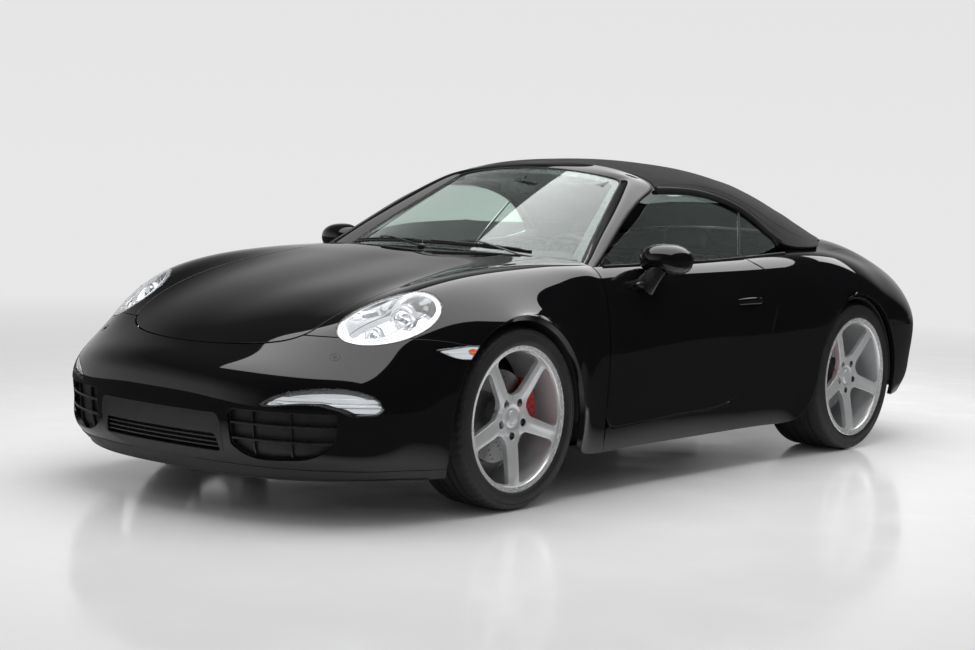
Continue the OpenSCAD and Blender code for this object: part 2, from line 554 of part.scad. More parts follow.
module links() {
    both() {
        translate([front_x, 400, 186]) rotate([-90, 0, 0]) cylinder(r = 18, h = 312, $fn = 32);
        translate([front_x, front_y - 66, 186]) cylinder(r = 16, h = 27.7, $fn = 32);
        translate([front_x - 80, 300, 224]) cube([160, 100, 75.7]);
        translate([rear_x, 330, 270]) rotate([-90, 0, 0]) cylinder(r = 24, h = 280, $fn = 32);
        translate([rear_x - 30, 600, 250]) cube([60, 56, 200]);
        translate([rear_x - 40, 332, 345]) cube([80, 50, 74.7]);
    }
    translate([front_x - 110, -400, 165]) cube([220, 800, 60]);
    translate([rear_x - 90, -330, 235]) cube([180, 659.7, 150]);
}
module suspension() color([0.25, 0.25, 0.26]) {
    fitted() links();
    both() left_hub(rear_x, rear_y, rear_tyre_r) {
        translate([0, 0, -421*ky]) cylinder(r = 22, h = 421*ky + 60.4, $fn = 32);
        rotate([0, 0, -10]) translate([10, -30, -130]) cube([120, 60, 79.7]);
    }
}

// Wheels: local z is the axle, pointing out of the car.
module left_hub(x, y, z) translate([x*kx, y*ky, z]) rotate([-90, 0, 0]) children();
module tyre(r, w) color([0.03, 0.03, 0.03]) rotate_extrude($fn = 128) polygon([
    [rim_r - 14, -w/2 + 16], [rim_r + 6, -w/2 + 5], [(r + rim_r)/2, -w/2], [r - 14, -w/2 + 4],
    [r - 3, -w/2 + 16], [r, -w/2 + 40], [r, w/2 - 40], [r - 3, w/2 - 16], [r - 14, w/2 - 4],
    [(r + rim_r)/2, w/2], [rim_r + 6, w/2 - 5], [rim_r - 14, w/2 - 16]]);
module rim(w, dish) color([0.7, 0.71, 0.72]) {
    rotate_extrude($fn = 128) polygon([
        [rim_r, w/2], [rim_r, w/2 - 8], [rim_r - 15, w/2 - 15], [rim_r - 15, -w/2 + 15],
        [rim_r, -w/2 + 8], [rim_r, -w/2], [rim_r - 8, -w/2], [rim_r - 26, -w/2 + 14],
        [rim_r - 26, w/2 - 30], [rim_r - 16, w/2 - 12], [rim_r - 8, w/2]]);
    difference() {
        union() {
            translate([0, 0, dish]) cylinder(r = 76, h = 32, $fn = 96);
            for (i = [0:4]) rotate([0, 0, 72*i + 18]) translate([0, 0, dish + 6])
                linear_extrude(w/2 - 26 - dish) polygon([[50,-30],[rim_r - 20,-24],
                    [rim_r - 20,26],[50,32]]);
        }
        translate([0, 0, -1 + dish]) cylinder(r = 30, h = 20, $fn = 48);
        for (i = [0:4]) rotate([0, 0, 72*i + 18]) translate([bolt_pcd/2, 0, dish - 1])
            cylinder(r = 7.5, h = 40, $fn = 32);
    }
}
module disc(r, z0, z1) color([0.5, 0.5, 0.5]) {
    translate([0, 0, z0]) difference() {
        cylinder(r = r, h = 34, $fn = 96);
        translate([0, 0, -1]) cylinder(r = 78, h = 36, $fn = 96);
    }
    translate([0, 0, z0 + 28]) difference() {
        cylinder(r = 84, h = z1 - z0 - 28, $fn = 96);
        translate([0, 0, -1]) cylinder(r = 77, h = z1 - z0 - 36, $fn = 96);
    }
    translate([0, 0, z1 - 9]) cylinder(r = 28, h = 14, $fn = 48);
}
module caliper(r, z0, mid) color([0.75, 0.03, 0.03]) rotate([0, 0, mid - 34]) difference() {
    rotate_extrude(angle = 68, $fn = 96)
        polygon([[r - 62, z0 - 24], [r + 22, z0 - 24], [r + 22, z0 + 58], [r - 62, z0 + 58]]);
    rotate([0, 0, -4]) rotate_extrude(angle = 76, $fn = 96)
        polygon([[r - 80, z0 - 6], [r + 6, z0 - 6], [r + 6, z0 + 40], [r - 80, z0 + 40]]);
}
module knuckle() color([0.4, 0.4, 0.41]) {
    translate([0, 0, -116]) cylinder(r = 44, h = 84, $fn = 64);
    translate([0, 0, -40]) cylinder(r = 20, h = 81.4, $fn = 48);
    translate([-24, -120, -126]) cube([48, 240, 90]);
    rotate([0, 0, 190]) translate([10, -28, -110]) cube([110, 56, 59.7]);
}
module front_left_knuckle() left_hub(front_x, front_y, front_tyre_r) knuckle();
module front_left_caliper() left_hub(front_x, front_y, front_tyre_r)
    caliper(disc_r, -26, 190);
module front_left_tyre() left_hub(front_x, front_y, front_tyre_r)
    tyre(front_tyre_r, front_tyre_w);
module front_left_rim() left_hub(front_x, front_y, front_tyre_r) rim(222, 51);
module front_left_disc() left_hub(front_x, front_y, front_tyre_r) disc(disc_r, -26, 50.7);
module rear_left_tyre() left_hub(rear_x, rear_y, rear_tyre_r) tyre(rear_tyre_r, rear_tyre_w);
module rear_left_rim() left_hub(rear_x, rear_y, rear_tyre_r) rim(286, 70);
module rear_left_disc() left_hub(rear_x, rear_y, rear_tyre_r) disc(disc_r - 5, -26, 69.7);
module rear_calipers() both() left_hub(rear_x, rear_y, rear_tyre_r)
    caliper(disc_r - 5, -26, -10);
module front_right_knuckle() mirror([0, 1, 0]) front_left_knuckle();
module front_right_caliper() mirror([0, 1, 0]) front_left_caliper();
module front_right_tyre() mirror([0, 1, 0]) front_left_tyre();
module front_right_rim() mirror([0, 1, 0]) front_left_rim();
module front_right_disc() mirror([0, 1, 0]) front_left_disc();
module rear_right_tyre() mirror([0, 1, 0]) rear_left_tyre();
module rear_right_rim() mirror([0, 1, 0]) rear_left_rim();
module rear_right_disc() mirror([0, 1, 0]) rear_left_disc();

front_fenders();
rear_quarters();
deck_cover();
floor_pan();
front_bumper();
rear_bumper();
bumper_grilles();
windscreen_frame();
windscreen();
soft_top();
rear_window();
quarter_windows();
headlamps();
bumper_lamps();
lamp_housings();
tail_lamps();
front_seats();
rear_seats();
dashboard();
wipers();
engine();
exhaust();
suspension();
rear_calipers();
steering_wheel();
hood();
engine_lid();
left_door();
left_window();
left_mirror();
right_door();
right_window();
right_mirror();
front_left_knuckle();
front_left_caliper();
front_left_tyre();
front_left_rim();
front_left_disc();
front_right_knuckle();
front_right_caliper();
front_right_tyre();
front_right_rim();
front_right_disc();
rear_left_tyre();
rear_left_rim();
rear_left_disc();
rear_right_tyre();
rear_right_rim();
rear_right_disc();
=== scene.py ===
import math

import bmesh
import bpy
import numpy as np
from mathutils import Matrix, Vector

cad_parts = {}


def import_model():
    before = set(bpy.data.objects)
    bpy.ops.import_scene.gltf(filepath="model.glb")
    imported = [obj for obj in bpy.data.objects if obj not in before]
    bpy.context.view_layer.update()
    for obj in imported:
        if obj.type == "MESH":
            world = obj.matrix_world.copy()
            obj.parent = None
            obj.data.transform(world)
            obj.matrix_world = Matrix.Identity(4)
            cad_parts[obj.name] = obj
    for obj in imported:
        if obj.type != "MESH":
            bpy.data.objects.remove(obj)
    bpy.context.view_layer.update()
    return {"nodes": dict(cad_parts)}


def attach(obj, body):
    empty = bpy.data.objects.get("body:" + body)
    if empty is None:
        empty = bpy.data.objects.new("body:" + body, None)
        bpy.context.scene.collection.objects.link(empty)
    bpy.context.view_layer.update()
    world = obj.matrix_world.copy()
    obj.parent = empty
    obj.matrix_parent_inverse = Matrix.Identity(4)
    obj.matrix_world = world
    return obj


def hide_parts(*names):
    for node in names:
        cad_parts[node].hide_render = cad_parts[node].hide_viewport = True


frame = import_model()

# ---------------------------------------------------------------- body tables, mm
# Section rows of the body skin, nose to tail, centre line to lower edge.
BODY_ROWS = np.array([
    [[2158,0,150],[2154,150,150],[2138,300,150],[2103,435,151],[2044,566,154],[1976,662,157],
     [1894,738,158],[1800,790,158],[1730,835,158],[1664,862,158]],
    [[2204,0,215],[2200,155,215],[2184,308,215],[2158,455,216],[2104,592,219],[2030,696,223],
     [1940,778,226],[1832,820,228],[1748,856,230],[1664,876,230]],
    [[2226,0,300],[2222,160,300],[2206,318,300],[2170,464,301],[2106,602,303],[2024,706,305],
     [1932,786,306],[1838,838,306],[1748,870,306],[1661,884,306]],
    [[2238,0,400],[2233,160,400],[2214,320,400],[2178,468,399],[2114,608,397],[2032,714,394],
     [1940,794,390],[1842,846,386],[1750,874,380],[1656,888,376]],
    [[2224,0,488],[2219,158,487],[2197,312,485],[2156,458,481],[2092,594,475],[2014,696,468],
     [1926,778,460],[1834,836,450],[1744,872,442],[1643,890,434]],
    [[2172,0,540],[2166,152,540],[2141,300,538],[2098,442,535],[2040,574,530],[1974,678,523],
     [1894,762,514],[1806,828,505],[1720,870,498],[1618,889,494]],
    [[2098,0,578],[2090,146,580],[2062,286,584],[2016,422,590],[1962,546,598],[1907,645,600],
     [1840,736,590],[1764,812,572],[1684,866,558],[1588,889,550]],
    [[2000,0,634],[1992,140,637],[1966,272,643],[1927,398,652],[1882,512,668],[1836,608,682],
     [1780,702,676],[1716,788,646],[1640,858,614],[1545,889,602]],
    [[1850,0,696],[1843,140,699],[1822,272,704],[1790,392,711],[1755,500,728],[1718,596,750],
     [1676,688,750],[1626,782,712],[1560,858,664],[1482,889,651]],
    [[1660,0,750],[1655,142,754],[1640,276,758],[1618,398,763],[1594,506,778],[1570,602,800],
     [1542,694,800],[1508,788,756],[1460,862,700],[1408,891,688]],
    [[1460,0,792],[1457,146,796],[1448,284,800],[1434,412,803],[1418,520,816],[1400,614,836],
     [1382,704,832],[1362,798,784],[1340,868,724],[1316,892,711]],
    [[1260,0,828],[1259,150,831],[1254,294,834],[1246,430,836],[1236,542,846],[1226,632,858],
     [1216,716,850],[1206,804,798],[1196,868,716],[1186,892,698]],
    [[1080,0,857],[1079,155,860],[1076,304,861],[1072,448,861],[1066,566,866],[1060,652,871],
     [1053,730,858],[1045,808,800],[1036,868,660],[1022,892,606]],
    [[940,0,880],[939,160,882],[937,314,882],[934,466,880],[930,592,880],[926,676,877],
     [922,744,860],[918,812,795],[918,870,600],[916,891,434]],
    [[800,0,898],[800,165,899],[799,324,898],[797,482,893],[795,618,886],[793,700,878],
     [791,760,858],[800,824,780],[862,876,430],[893,885,250]],
    [[735,0,901],[735,166,902],[735,326,901],[734,486,895],[732,628,888],[731,712,878],
     [730,770,855],[740,830,770],[800,873,500],[878,869,168]],
    [[640,0,905],[640,168,905],[640,330,903],[640,492,897],[640,640,887],[640,726,874],
     [640,780,848],[640,836,750],[652,872,480],[650,864,167]],
    [[400,0,908],[400,168,908],[400,332,906],[400,494,900],[400,648,889],[400,738,873],
     [400,792,844],[400,842,740],[400,871,470],[400,860,168]],
    [[120,0,910],[120,168,910],[120,332,908],[120,494,902],[120,646,892],[120,738,877],
     [120,796,846],[120,846,742],[120,872,470],[120,858,168]],
    [[-160,0,912],[-160,168,912],[-160,332,910],[-160,494,905],[-160,644,896],[-160,734,884],
     [-160,794,854],[-160,848,752],[-160,876,480],[-160,860,170]],
    [[-440,0,918],[-440,168,918],[-440,332,916],[-440,494,912],[-440,640,905],[-440,726,896],
     [-440,790,866],[-440,852,768],[-440,886,500],[-440,866,172]],
    [[-640,0,926],[-640,168,926],[-640,332,924],[-640,494,919],[-640,636,912],[-640,722,905],
     [-640,788,878],[-640,856,784],[-640,893,520],[-640,872,176]],
    [[-820,0,936],[-820,168,936],[-820,332,934],[-820,492,930],[-820,632,922],[-820,718,910],
     [-820,786,885],[-815,860,796],[-805,898,580],[-790,896,262]],
    [[-990,0,950],[-990,168,950],[-990,332,947],[-990,490,941],[-990,628,930],[-990,714,911],
     [-990,786,884],[-985,862,802],[-975,901,680],[-950,902,644]],
    [[-1170,0,960],[-1170,168,960],[-1170,330,957],[-1170,486,949],[-1170,622,932],
     [-1170,708,904],[-1170,782,872],[-1170,862,798],[-1170,901,728],[-1170,903,713]],
    [[-1350,0,975],[-1350,165,974],[-1350,326,971],[-1350,478,961],[-1350,612,934],
     [-1350,700,886],[-1348,776,846],[-1340,854,776],[-1312,893,722],[-1262,902,701]],
    [[-1520,0,965],[-1520,162,964],[-1520,320,960],[-1520,468,949],[-1522,600,918],
     [-1524,688,858],[-1518,766,808],[-1492,842,740],[-1432,890,691],[-1345,902,670]],
    [[-1680,0,936],[-1681,158,935],[-1684,312,931],[-1690,456,918],[-1696,584,884],
     [-1702,668,829],[-1694,748,774],[-1652,828,698],[-1556,882,648],[-1416,902,620]],
    [[-1840,0,896],[-1841,154,894],[-1845,304,888],[-1852,442,874],[-1860,562,842],
     [-1864,646,795],[-1850,730,728],[-1790,814,650],[-1664,874,596],[-1470,901,562]],
    [[-1990,0,838],[-1991,150,836],[-1995,296,829],[-2001,430,814],[-2005,546,786],
     [-1996,636,742],[-1968,716,674],[-1890,800,596],[-1740,866,540],[-1510,900,500]],
    [[-2100,0,770],[-2100,146,768],[-2100,288,761],[-2098,420,746],[-2080,534,716],
     [-2052,606,680],[-2008,694,614],[-1924,784,538],[-1770,860,482],[-1533,899,442]],
    [[-2180,0,672],[-2178,144,671],[-2170,286,665],[-2152,416,652],[-2106,512,628],
     [-2068,586,596],[-2018,664,548],[-1938,760,480],[-1790,850,428],[-1544,897,390]],
    [[-2225,0,560],[-2221,146,560],[-2206,288,556],[-2176,418,548],[-2116,506,532],
     [-2072,580,510],[-2020,654,478],[-1940,746,424],[-1800,840,376],[-1550,894,342]],
    [[-2236,0,440],[-2232,146,440],[-2215,288,438],[-2180,416,434],[-2116,504,426],
     [-2072,576,416],[-2020,648,400],[-1942,738,366],[-1806,832,328],[-1554,890,300]],
    [[-2212,0,340],[-2208,144,340],[-2191,284,338],[-2157,408,334],[-2096,496,328],
     [-2056,566,324],[-2006,638,316],[-1930,726,302],[-1800,822,282],[-1558,884,264]],
    [[-2150,0,235],[-2146,140,235],[-2130,274,234],[-2104,390,232],[-2062,474,230],
     [-2024,540,229],[-1976,612,228],[-1904,698,226],[-1780,798,225],[-1560,876,228]]
], float)
# Rows of the raised soft top, screen header to rear hem.
TOP_ROWS = np.array([
    [[40,0,1268],[38,200,1262],[34,360,1246],[28,480,1224],[30,548,1196],[60,592,1166]],
    [[-60,0,1284],[-60,200,1278],[-60,360,1262],[-60,480,1238],[-58,560,1206],[-50,606,1166]],
    [[-200,0,1290],[-200,200,1284],[-200,365,1268],[-200,488,1242],[-200,572,1206],[-200,615,1160]],
    [[-400,0,1284],[-400,205,1278],[-400,372,1261],[-400,500,1232],[-398,590,1188],[-394,634,1126]],
    [[-620,0,1258],[-620,210,1250],[-618,385,1229],[-610,520,1192],[-598,614,1136],[-580,664,1058]],
    [[-840,0,1216],[-840,215,1208],[-835,395,1184],[-820,540,1138],[-785,640,1062],[-731,712,952]],
    [[-1060,0,1162],[-1058,220,1152],[-1048,410,1120],[-1025,560,1062],[-985,660,992],
     [-930,722,932]],
    [[-1250,0,1100],[-1247,225,1090],[-1232,415,1058],[-1200,560,1008],[-1150,644,962],
     [-1090,704,934]],
    [[-1400,0,1036],[-1394,225,1029],[-1372,400,1009],[-1325,530,982],[-1260,604,956],
     [-1200,650,940]],
    [[-1490,0,990],[-1476,225,988],[-1445,390,980],[-1385,510,966],[-1340,556,958],[-1300,590,950]]
], float)
HOOD = [[2088,0],[2082,120],[2062,230],[2020,345],[1978,412],[1934,450],[1860,470],
    [1700,490],[1400,514],[1100,537],[900,549],[738,555],[745,520],[800,340],[842,180],[859,0]]
LID = [[-1560,0],[-1560,300],[-1566,430],[-1590,480],[-1700,505],[-1860,520],
    [-1985,500],[-2016,440],[-2030,300],[-2036,0]]
DECK = [[-1240,0],[-1240,690],[-1330,664],[-1450,640],[-1600,618],[-1760,600],
    [-1900,580],[-2010,540],[-2060,300],[-2066,0]]
HEM = [[-1100,0],[-1100,700],[-1204,646],[-1304,586],[-1344,552],[-1389,506],[-1449,387],
    [-1480,225],[-1494,0]]
CABIN = [[690,0],[690,690],[600,735],[400,757],[120,757],[-400,757],[-640,745],[-760,730],
    [-900,718],[-1060,704],[-1180,652],[-1290,590],[-1330,560],[-1380,512],[-1440,390],[-1470,0]]
COWL = [[808,0],[804,129],[789,258],[759,387],[713,516],[654,636],[660,660],[715,625],
    [732,561],[739,520],[794,340],[836,180],[853,0]]
DOOR = [[708,960],[711,800],[716,600],[730,400],[737,310],[728,272],[700,257],[600,256],
    [250,270],[-91,286],[-170,304],[-244,359],[-330,450],[-420,560],[-486,680],[-505,750],
    [-500,790],[-481,816],[-440,846],[-390,874],[-340,960]]
LAMP_SIDE = [[2400,0],[2400,630],[1900,632],[1700,636],[1500,606],[1380,606],[1380,0]]
TAIL_SIDE = [[-2400,0],[-2400,668],[-2060,668],[-1930,640],[-1800,596],[-1560,566],
    [-1440,566],[-1440,0]]
FENDER = [[713,1000],[716,800],[721,600],[735,400],[742,310],[742,100],[2400,100],[2400,1000]]
QUARTER = [[741.6,252],[741.6,100],[-2400,100],[-2400,1000],[690,1000],[690,252]]
INTAKE = [[345,386],[352,262],[400,232],[545,222],[636,238],[682,272],[700,330],[702,386]]
LOW_INTAKE = [[-285,292],[285,292],[300,232],[-300,232]]
DAY_LAMP = [[450,400],[500,436],[570,462],[650,474],[730,468],[790,436],[806,404],[792,386],
            [728,386],[706,400]]
TAIL_LAMP = [[420,676],[420,708],[560,718],[745,728],[765,700],[748,676]]
PIPES = [[330,100],[330,300],[350,318],[490,318],[510,300],[510,100]]
DOOR_GLASS = [[640,806],[640,860],[560,908],[300,1036],[116,1128],[60,1140],[0,1146],
    [-150,1146],[-300,1134],[-400,1118],[-498,1092],[-366,880],[-330,806]]
REAR_GLASS = [[-505,1090],[-600,1050],[-680,990],[-722,936],[-640,916],[-382,884]]
LAMP_C, LAMP_A, LAMP_TURN = (1745, 655), (187, 100), math.radians(147)
FRONT_HUB, REAR_HUB = (1280, 766, 334), (-1170, 751, 338)
GAP, FIT, WALL = 5.0, 0.6, 20.0
# The gap about the rear tyre and how far in it reaches, the tail's span of x, the deck's foot.
ARCH_GAP, ARCH_INNER = 14, 560
TAIL_X, DECK_Z = (-2400, -1900), 672


# ---------------------------------------------------------------- smooth surfaces
def spline(m, n):
    """Weights that carry m control points to n samples a span of a smooth curve, and its slopes."""
    eye = np.eye(m)
    g = np.vstack([2*eye[0] - eye[1], eye, 2*eye[-1] - eye[-2]])
    q = g.copy()
    q[1:-1] = g[1:-1] - (g[:-2] - 2*g[1:-1] + g[2:])/6
    u = np.arange((m - 1)*n + 1)/n
    i = np.minimum(u.astype(int), m - 2)
    t = u - i
    b = np.stack([(1-t)**3, 3*t**3 - 6*t**2 + 4, -3*t**3 + 3*t**2 + 3*t + 1, t**3])/6
    d = np.stack([-(1-t)**2, 3*t**2 - 4*t, -3*t**2 + 2*t + 1, t**2])/2
    return (sum(b[k][:, None]*q[i + k] for k in range(4)),
            sum(d[k][:, None]*q[i + k] for k in range(4)))


def mirror_rows(rows):
    left = rows[:, :0:-1]*np.array([1, -1, 1])
    return np.concatenate([left, rows], 1)


def unit(v):
    return v/np.maximum(np.linalg.norm(v, axis=-1, keepdims=True), 1e-9)


def surface(rows, a, b):
    """Points and outward normals of the surface through a net of rows."""
    wr, dr = spline(rows.shape[0], a)
    wc, dc = spline(rows.shape[1], b)
    p = np.einsum("ri,ijk,cj->rck", wr, rows, wc)
    pr = np.einsum("ri,ijk,cj->rck", dr, rows, wc)
    pc = np.einsum("ri,ijk,cj->rck", wr, rows, dc)
    return p, unit(np.cross(pc, pr))


def grid_normals(p):
    """Normals of a grid from its own neighbours, facing as surface() has them."""
    return unit(np.cross(np.gradient(p, axis=1), np.gradient(p, axis=0)))


def rounded(poly, n=4, corner=38):
    """The outline with smooth curves through its points; real corners stay."""
    p = np.array(poly, float)
    m = len(p)
    out = []
    tang = []
    for i in range(m):
        a, b = p[i] - p[i-1], p[(i+1) % m] - p[i]
        la, lb = np.linalg.norm(a), np.linalg.norm(b)
        turn = math.degrees(math.acos(max(-1, min(1, float(a @ b)/(la*lb)))))
        tang.append(None if turn > corner else (a/la*lb + b/lb*la)/(la + lb))
    for i in range(m):
        a, b = p[i], p[(i+1) % m]
        d = b - a
        ln = np.linalg.norm(d)
        ta = d if tang[i] is None else unit(tang[i])*ln
        tb = d if tang[(i+1) % m] is None else unit(tang[(i+1) % m])*ln
        for k in range(n):
            t = k/n
            out.append((2*t**3-3*t**2+1)*a + (t**3-2*t**2+t)*ta + (3*t**2-2*t**3)*b
                       + (t**3-t**2)*tb)
    return np.array(out)


def inside(poly, x, y):
    """Distance of points inside an outline, minus outside it."""
    near = np.full(x.shape, 1e9)
    odd = np.zeros(x.shape, bool)
    for a, b in zip(poly, np.roll(poly, -1, 0)):
        d = b - a
        t = np.clip(((x - a[0])*d[0] + (y - a[1])*d[1])/max(float(d @ d), 1e-9), 0, 1)
        near = np.minimum(near, np.hypot(x - a[0] - t*d[0], y - a[1] - t*d[1]))
        if a[1] != b[1]:
            odd ^= ((a[1] > y) != (b[1] > y)) & (x < (b[0]-a[0])*(y-a[1])/(b[1]-a[1]) + a[0])
    return np.where(odd, near, -near)


def full(half):
    return half + [[x, -y] for x, y in half[::-1] if y > 0]


# Fields: each gives, for points p (n, 3) in mm, how far inside the cut they are.
def plan(half, grow=0.0, z0=500):
    poly = rounded(full(half))
    return lambda p: np.minimum(inside(poly, p[:, 0], p[:, 1]) + grow, p[:, 2] - z0)


def side(outline, grow=0.0, y0=-1e4):
    poly = rounded(outline)
    return lambda p: np.minimum(inside(poly, p[:, 0], p[:, 2]) + grow, np.abs(p[:, 1]) - y0)


def front(outline, grow, x0, x1=2400):
    poly = rounded(outline)
    return lambda p: np.minimum(inside(poly, np.abs(p[:, 1]), p[:, 2]) + grow,
                                np.minimum(p[:, 0] - x0, x1 - p[:, 0]))


def lamp(grow=0.0):
    c, s = math.cos(LAMP_TURN), math.sin(LAMP_TURN)

    def field(p):
        x, y = p[:, 0] - LAMP_C[0], np.abs(p[:, 1]) - LAMP_C[1]
        u, v = x*c + y*s, y*c - x*s
        r = np.hypot(u/LAMP_A[0], v/LAMP_A[1])
        g = np.hypot(u/LAMP_A[0]**2, v/LAMP_A[1]**2)
        return np.minimum((1 - r)*r/np.maximum(g, 1e-6) + grow, p[:, 2] - 400)
    return field


def out(field):
    return lambda p: -field(p)


def both_of(*fields):
    return lambda p: np.min([f(p) for f in fields], 0)


def left(p):
    """Keeps a panel piece to the car's left of its centre."""
    return p[:, 1] - 20.0


# ---------------------------------------------------------------- meshes
class Build:
    """Collects faces with their own corner normals, then makes one Blender mesh."""

    def __init__(self):
        self.v, self.f, self.n, self.m, self.k = [], [], [], [], 0

    def add(self, verts, faces, normals=None, mat=0):
        """verts (n, 3) mm; normals one for each vertex, or None for smoothed ones."""
        verts = np.asarray(verts, float)
        self.v.append(verts)
        for f in faces:
            f = [int(i) for i in f]
            self.f.append([i + self.k for i in f])
            self.n.append([normals[i] for i in f] if normals is not None else None)
            self.m.append(mat)
        self.k += len(verts)

    def object(self, name, mats, flip=False, sharp=35):
        v = np.concatenate(self.v)*0.001
        faces = [f[::-1] for f in self.f] if flip else self.f
        me = bpy.data.meshes.new(name)
        me.from_pydata(v.tolist(), [], faces)
        me.polygons.foreach_set("material_index", self.m)
        me.polygons.foreach_set("use_smooth", [True]*len(faces))
        for m in mats:
            me.materials.append(m)
        me.set_sharp_from_angle(angle=math.radians(sharp))
        if any(n is not None for n in self.n):
            flat = []
            for n, f in zip(self.n, self.f):
                if n is None:
                    flat += [(0.0, 0.0, 0.0)]*len(f)
                else:
                    flat += [tuple(map(float, c)) for c in (n[::-1] if flip else n)]
            me.normals_split_custom_set(flat)
        ob = bpy.data.objects.new(name, me)
        bpy.context.scene.collection.objects.link(ob)
        return ob


def clip(v, n, quads, polys, f):
    """Keeps what lies where f is above zero, splitting faces along f = 0."""
    keep = f > 0
    v, n, f = list(v), list(n), list(f)
    cut = {}

    def crossing(a, b):
        key = (a, b) if a < b else (b, a)
        if key not in cut:
            t = f[key[0]]/(f[key[0]] - f[key[1]])
            cut[key] = len(v)
            v.append(v[key[0]]*(1-t) + v[key[1]]*t)
            n.append(unit(n[key[0]]*(1-t) + n[key[1]]*t))
        return cut[key]

    count = keep[quads].sum(1) if len(quads) else np.zeros(0)
    mixed = [tuple(q) for q in quads[(count > 0) & (count < 4)]]
    new = []
    for face in mixed + list(polys):
        k = [keep[i] for i in face]
        if all(k):
            new.append(face)
            continue
        if not any(k):
            continue
        got = []
        for i, a in enumerate(face):
            b = face[(i+1) % len(face)]
            if keep[a]:
                got.append(a)
            if keep[a] != keep[b]:
                got.append(crossing(a, b))
        if len(got) > 2:
            new.append(tuple(got))
    return np.array(v), np.array(n), quads[count == 4], new


def trimmed(p, n, fields, wrap=False):
    """A grid cut by fields: vertices, normals, faces. wrap joins its last row to its first."""
    r, c = p.shape[:2]
    v, nv = p.reshape(-1, 3), n.reshape(-1, 3)
    i, j = np.meshgrid(np.arange(r if wrap else r - 1), np.arange(c-1), indexing="ij")
    a, d = (i*c + j).ravel(), ((i + 1) % r*c + j).ravel()
    quads = np.stack([a, a + 1, d + 1, d], 1)
    polys = []
    for field in fields:
        used = np.unique(np.concatenate([quads.ravel(), np.array(
            [i for q in polys for i in q], int)])).astype(int)
        f = np.full(len(v), -1.0)
        if len(used):
            f[used] = field(v[used])
        f[np.abs(f) < 1e-4] = 1e-4
        v, nv, quads, polys = clip(v, nv, quads, polys, f)
    faces = [tuple(q) for q in quads] + polys
    used = sorted({int(i) for q in faces for i in q})
    index = {i: k for k, i in enumerate(used)}
    return v[used], nv[used], [tuple(index[int(i)] for i in q) for q in faces]


def shell(b, p, n, fields, top=0.0, thick=WALL, r=1.6, mats=(0, 0), edge_mat=None, back=True,
          wrap=False):
    """Adds a panel to b: the grid cut by fields, its edges rounded by r, thick deep."""
    grow = [(lambda g: (lambda q: g(q) - r))(g) for g in fields]
    v, nv, faces = trimmed(p + n*top, n, grow, wrap)
    if not faces:
        raise RuntimeError("an empty panel")
    b.add(v, faces, nv, mats[0])
    seen = {}
    for q in faces:
        for i, a in enumerate(q):
            e = (a, q[(i+1) % len(q)])
            seen[e] = True
    rim = [e for e in seen if (e[1], e[0]) not in seen]
    outward = np.zeros_like(v)
    for a, c in rim:
        d = unit(np.cross(v[c] - v[a], nv[a] + nv[c]))
        ln = max(np.linalg.norm(v[c] - v[a]), 1e-6)
        outward[a] += d*min(ln, 5)
        outward[c] += d*min(ln, 5)
    outward = unit(outward)
    ids = sorted({i for e in rim for i in e})
    at = {i: k for k, i in enumerate(ids)}
    base, o, m = v[ids], outward[ids], nv[ids]
    steps = [0.0, 0.55, 1.1, math.pi/2]
    rings = [(base + o*r*math.sin(s) - m*r*(1 - math.cos(s)),
              m*math.cos(s) + o*math.sin(s)) for s in steps]
    rings.append((base + o*r - m*thick, o))
    em = mats[0] if edge_mat is None else edge_mat
    for (va, na), (vb, nb) in zip(rings, rings[1:]):
        k = len(ids)
        b.add(np.concatenate([va, vb]),
              [(at[c], at[a], k + at[a], k + at[c]) for a, c in rim],
              np.concatenate([na, nb]), em)
    if back:
        w = v - nv*thick
        w[ids] = rings[-1][0]
        b.add(w, [q[::-1] for q in faces], -nv, mats[1])


def mirrored(ob, name, mats=None):
    """A copy of a left-hand piece for the right."""
    me = ob.data.copy()
    co = np.zeros(len(me.vertices)*3)
    me.vertices.foreach_get("co", co)
    co = co.reshape(-1, 3)*np.array([1, -1, 1])
    nm = np.zeros(len(me.loops)*3)
    had = me.has_custom_normals
    if had:
        nm = np.array([c.vector[:] for c in me.corner_normals])*np.array([1, -1, 1])
    loops = [[me.loops[i].vertex_index for i in f.loop_indices] for f in me.polygons]
    idx = [f.material_index for f in me.polygons]
    starts = [f.loop_start for f in me.polygons]
    sharp = None
    if not had and "sharp_edge" in me.attributes:
        sharp = {tuple(sorted(e.vertices)) for e in me.edges if e.use_edge_sharp}
    new = bpy.data.meshes.new(name)
    new.from_pydata(co.tolist(), [], [f[::-1] for f in loops])
    new.polygons.foreach_set("material_index", idx)
    new.polygons.foreach_set("use_smooth", [True]*len(loops))
    for m in (mats or me.materials):
        new.materials.append(m)
    if had:
        flat = []
        for s, f in zip(starts, loops):
            flat += [tuple(nm[s + k]) for k in range(len(f))][::-1]
        new.normals_split_custom_set(flat)
    elif sharp:
        for e in new.edges:
            e.use_edge_sharp = tuple(sorted(e.vertices)) in sharp
    twin = bpy.data.objects.new(name, new)
    bpy.context.scene.collection.objects.link(twin)
    return twin


def place(ob, body, slot, *nodes):
    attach(ob, body)
    if nodes:
        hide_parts(*nodes)
    return ob


# ---------------------------------------------------------------- materials
def links(mat):
    return mat.node_tree.nodes, mat.node_tree.links


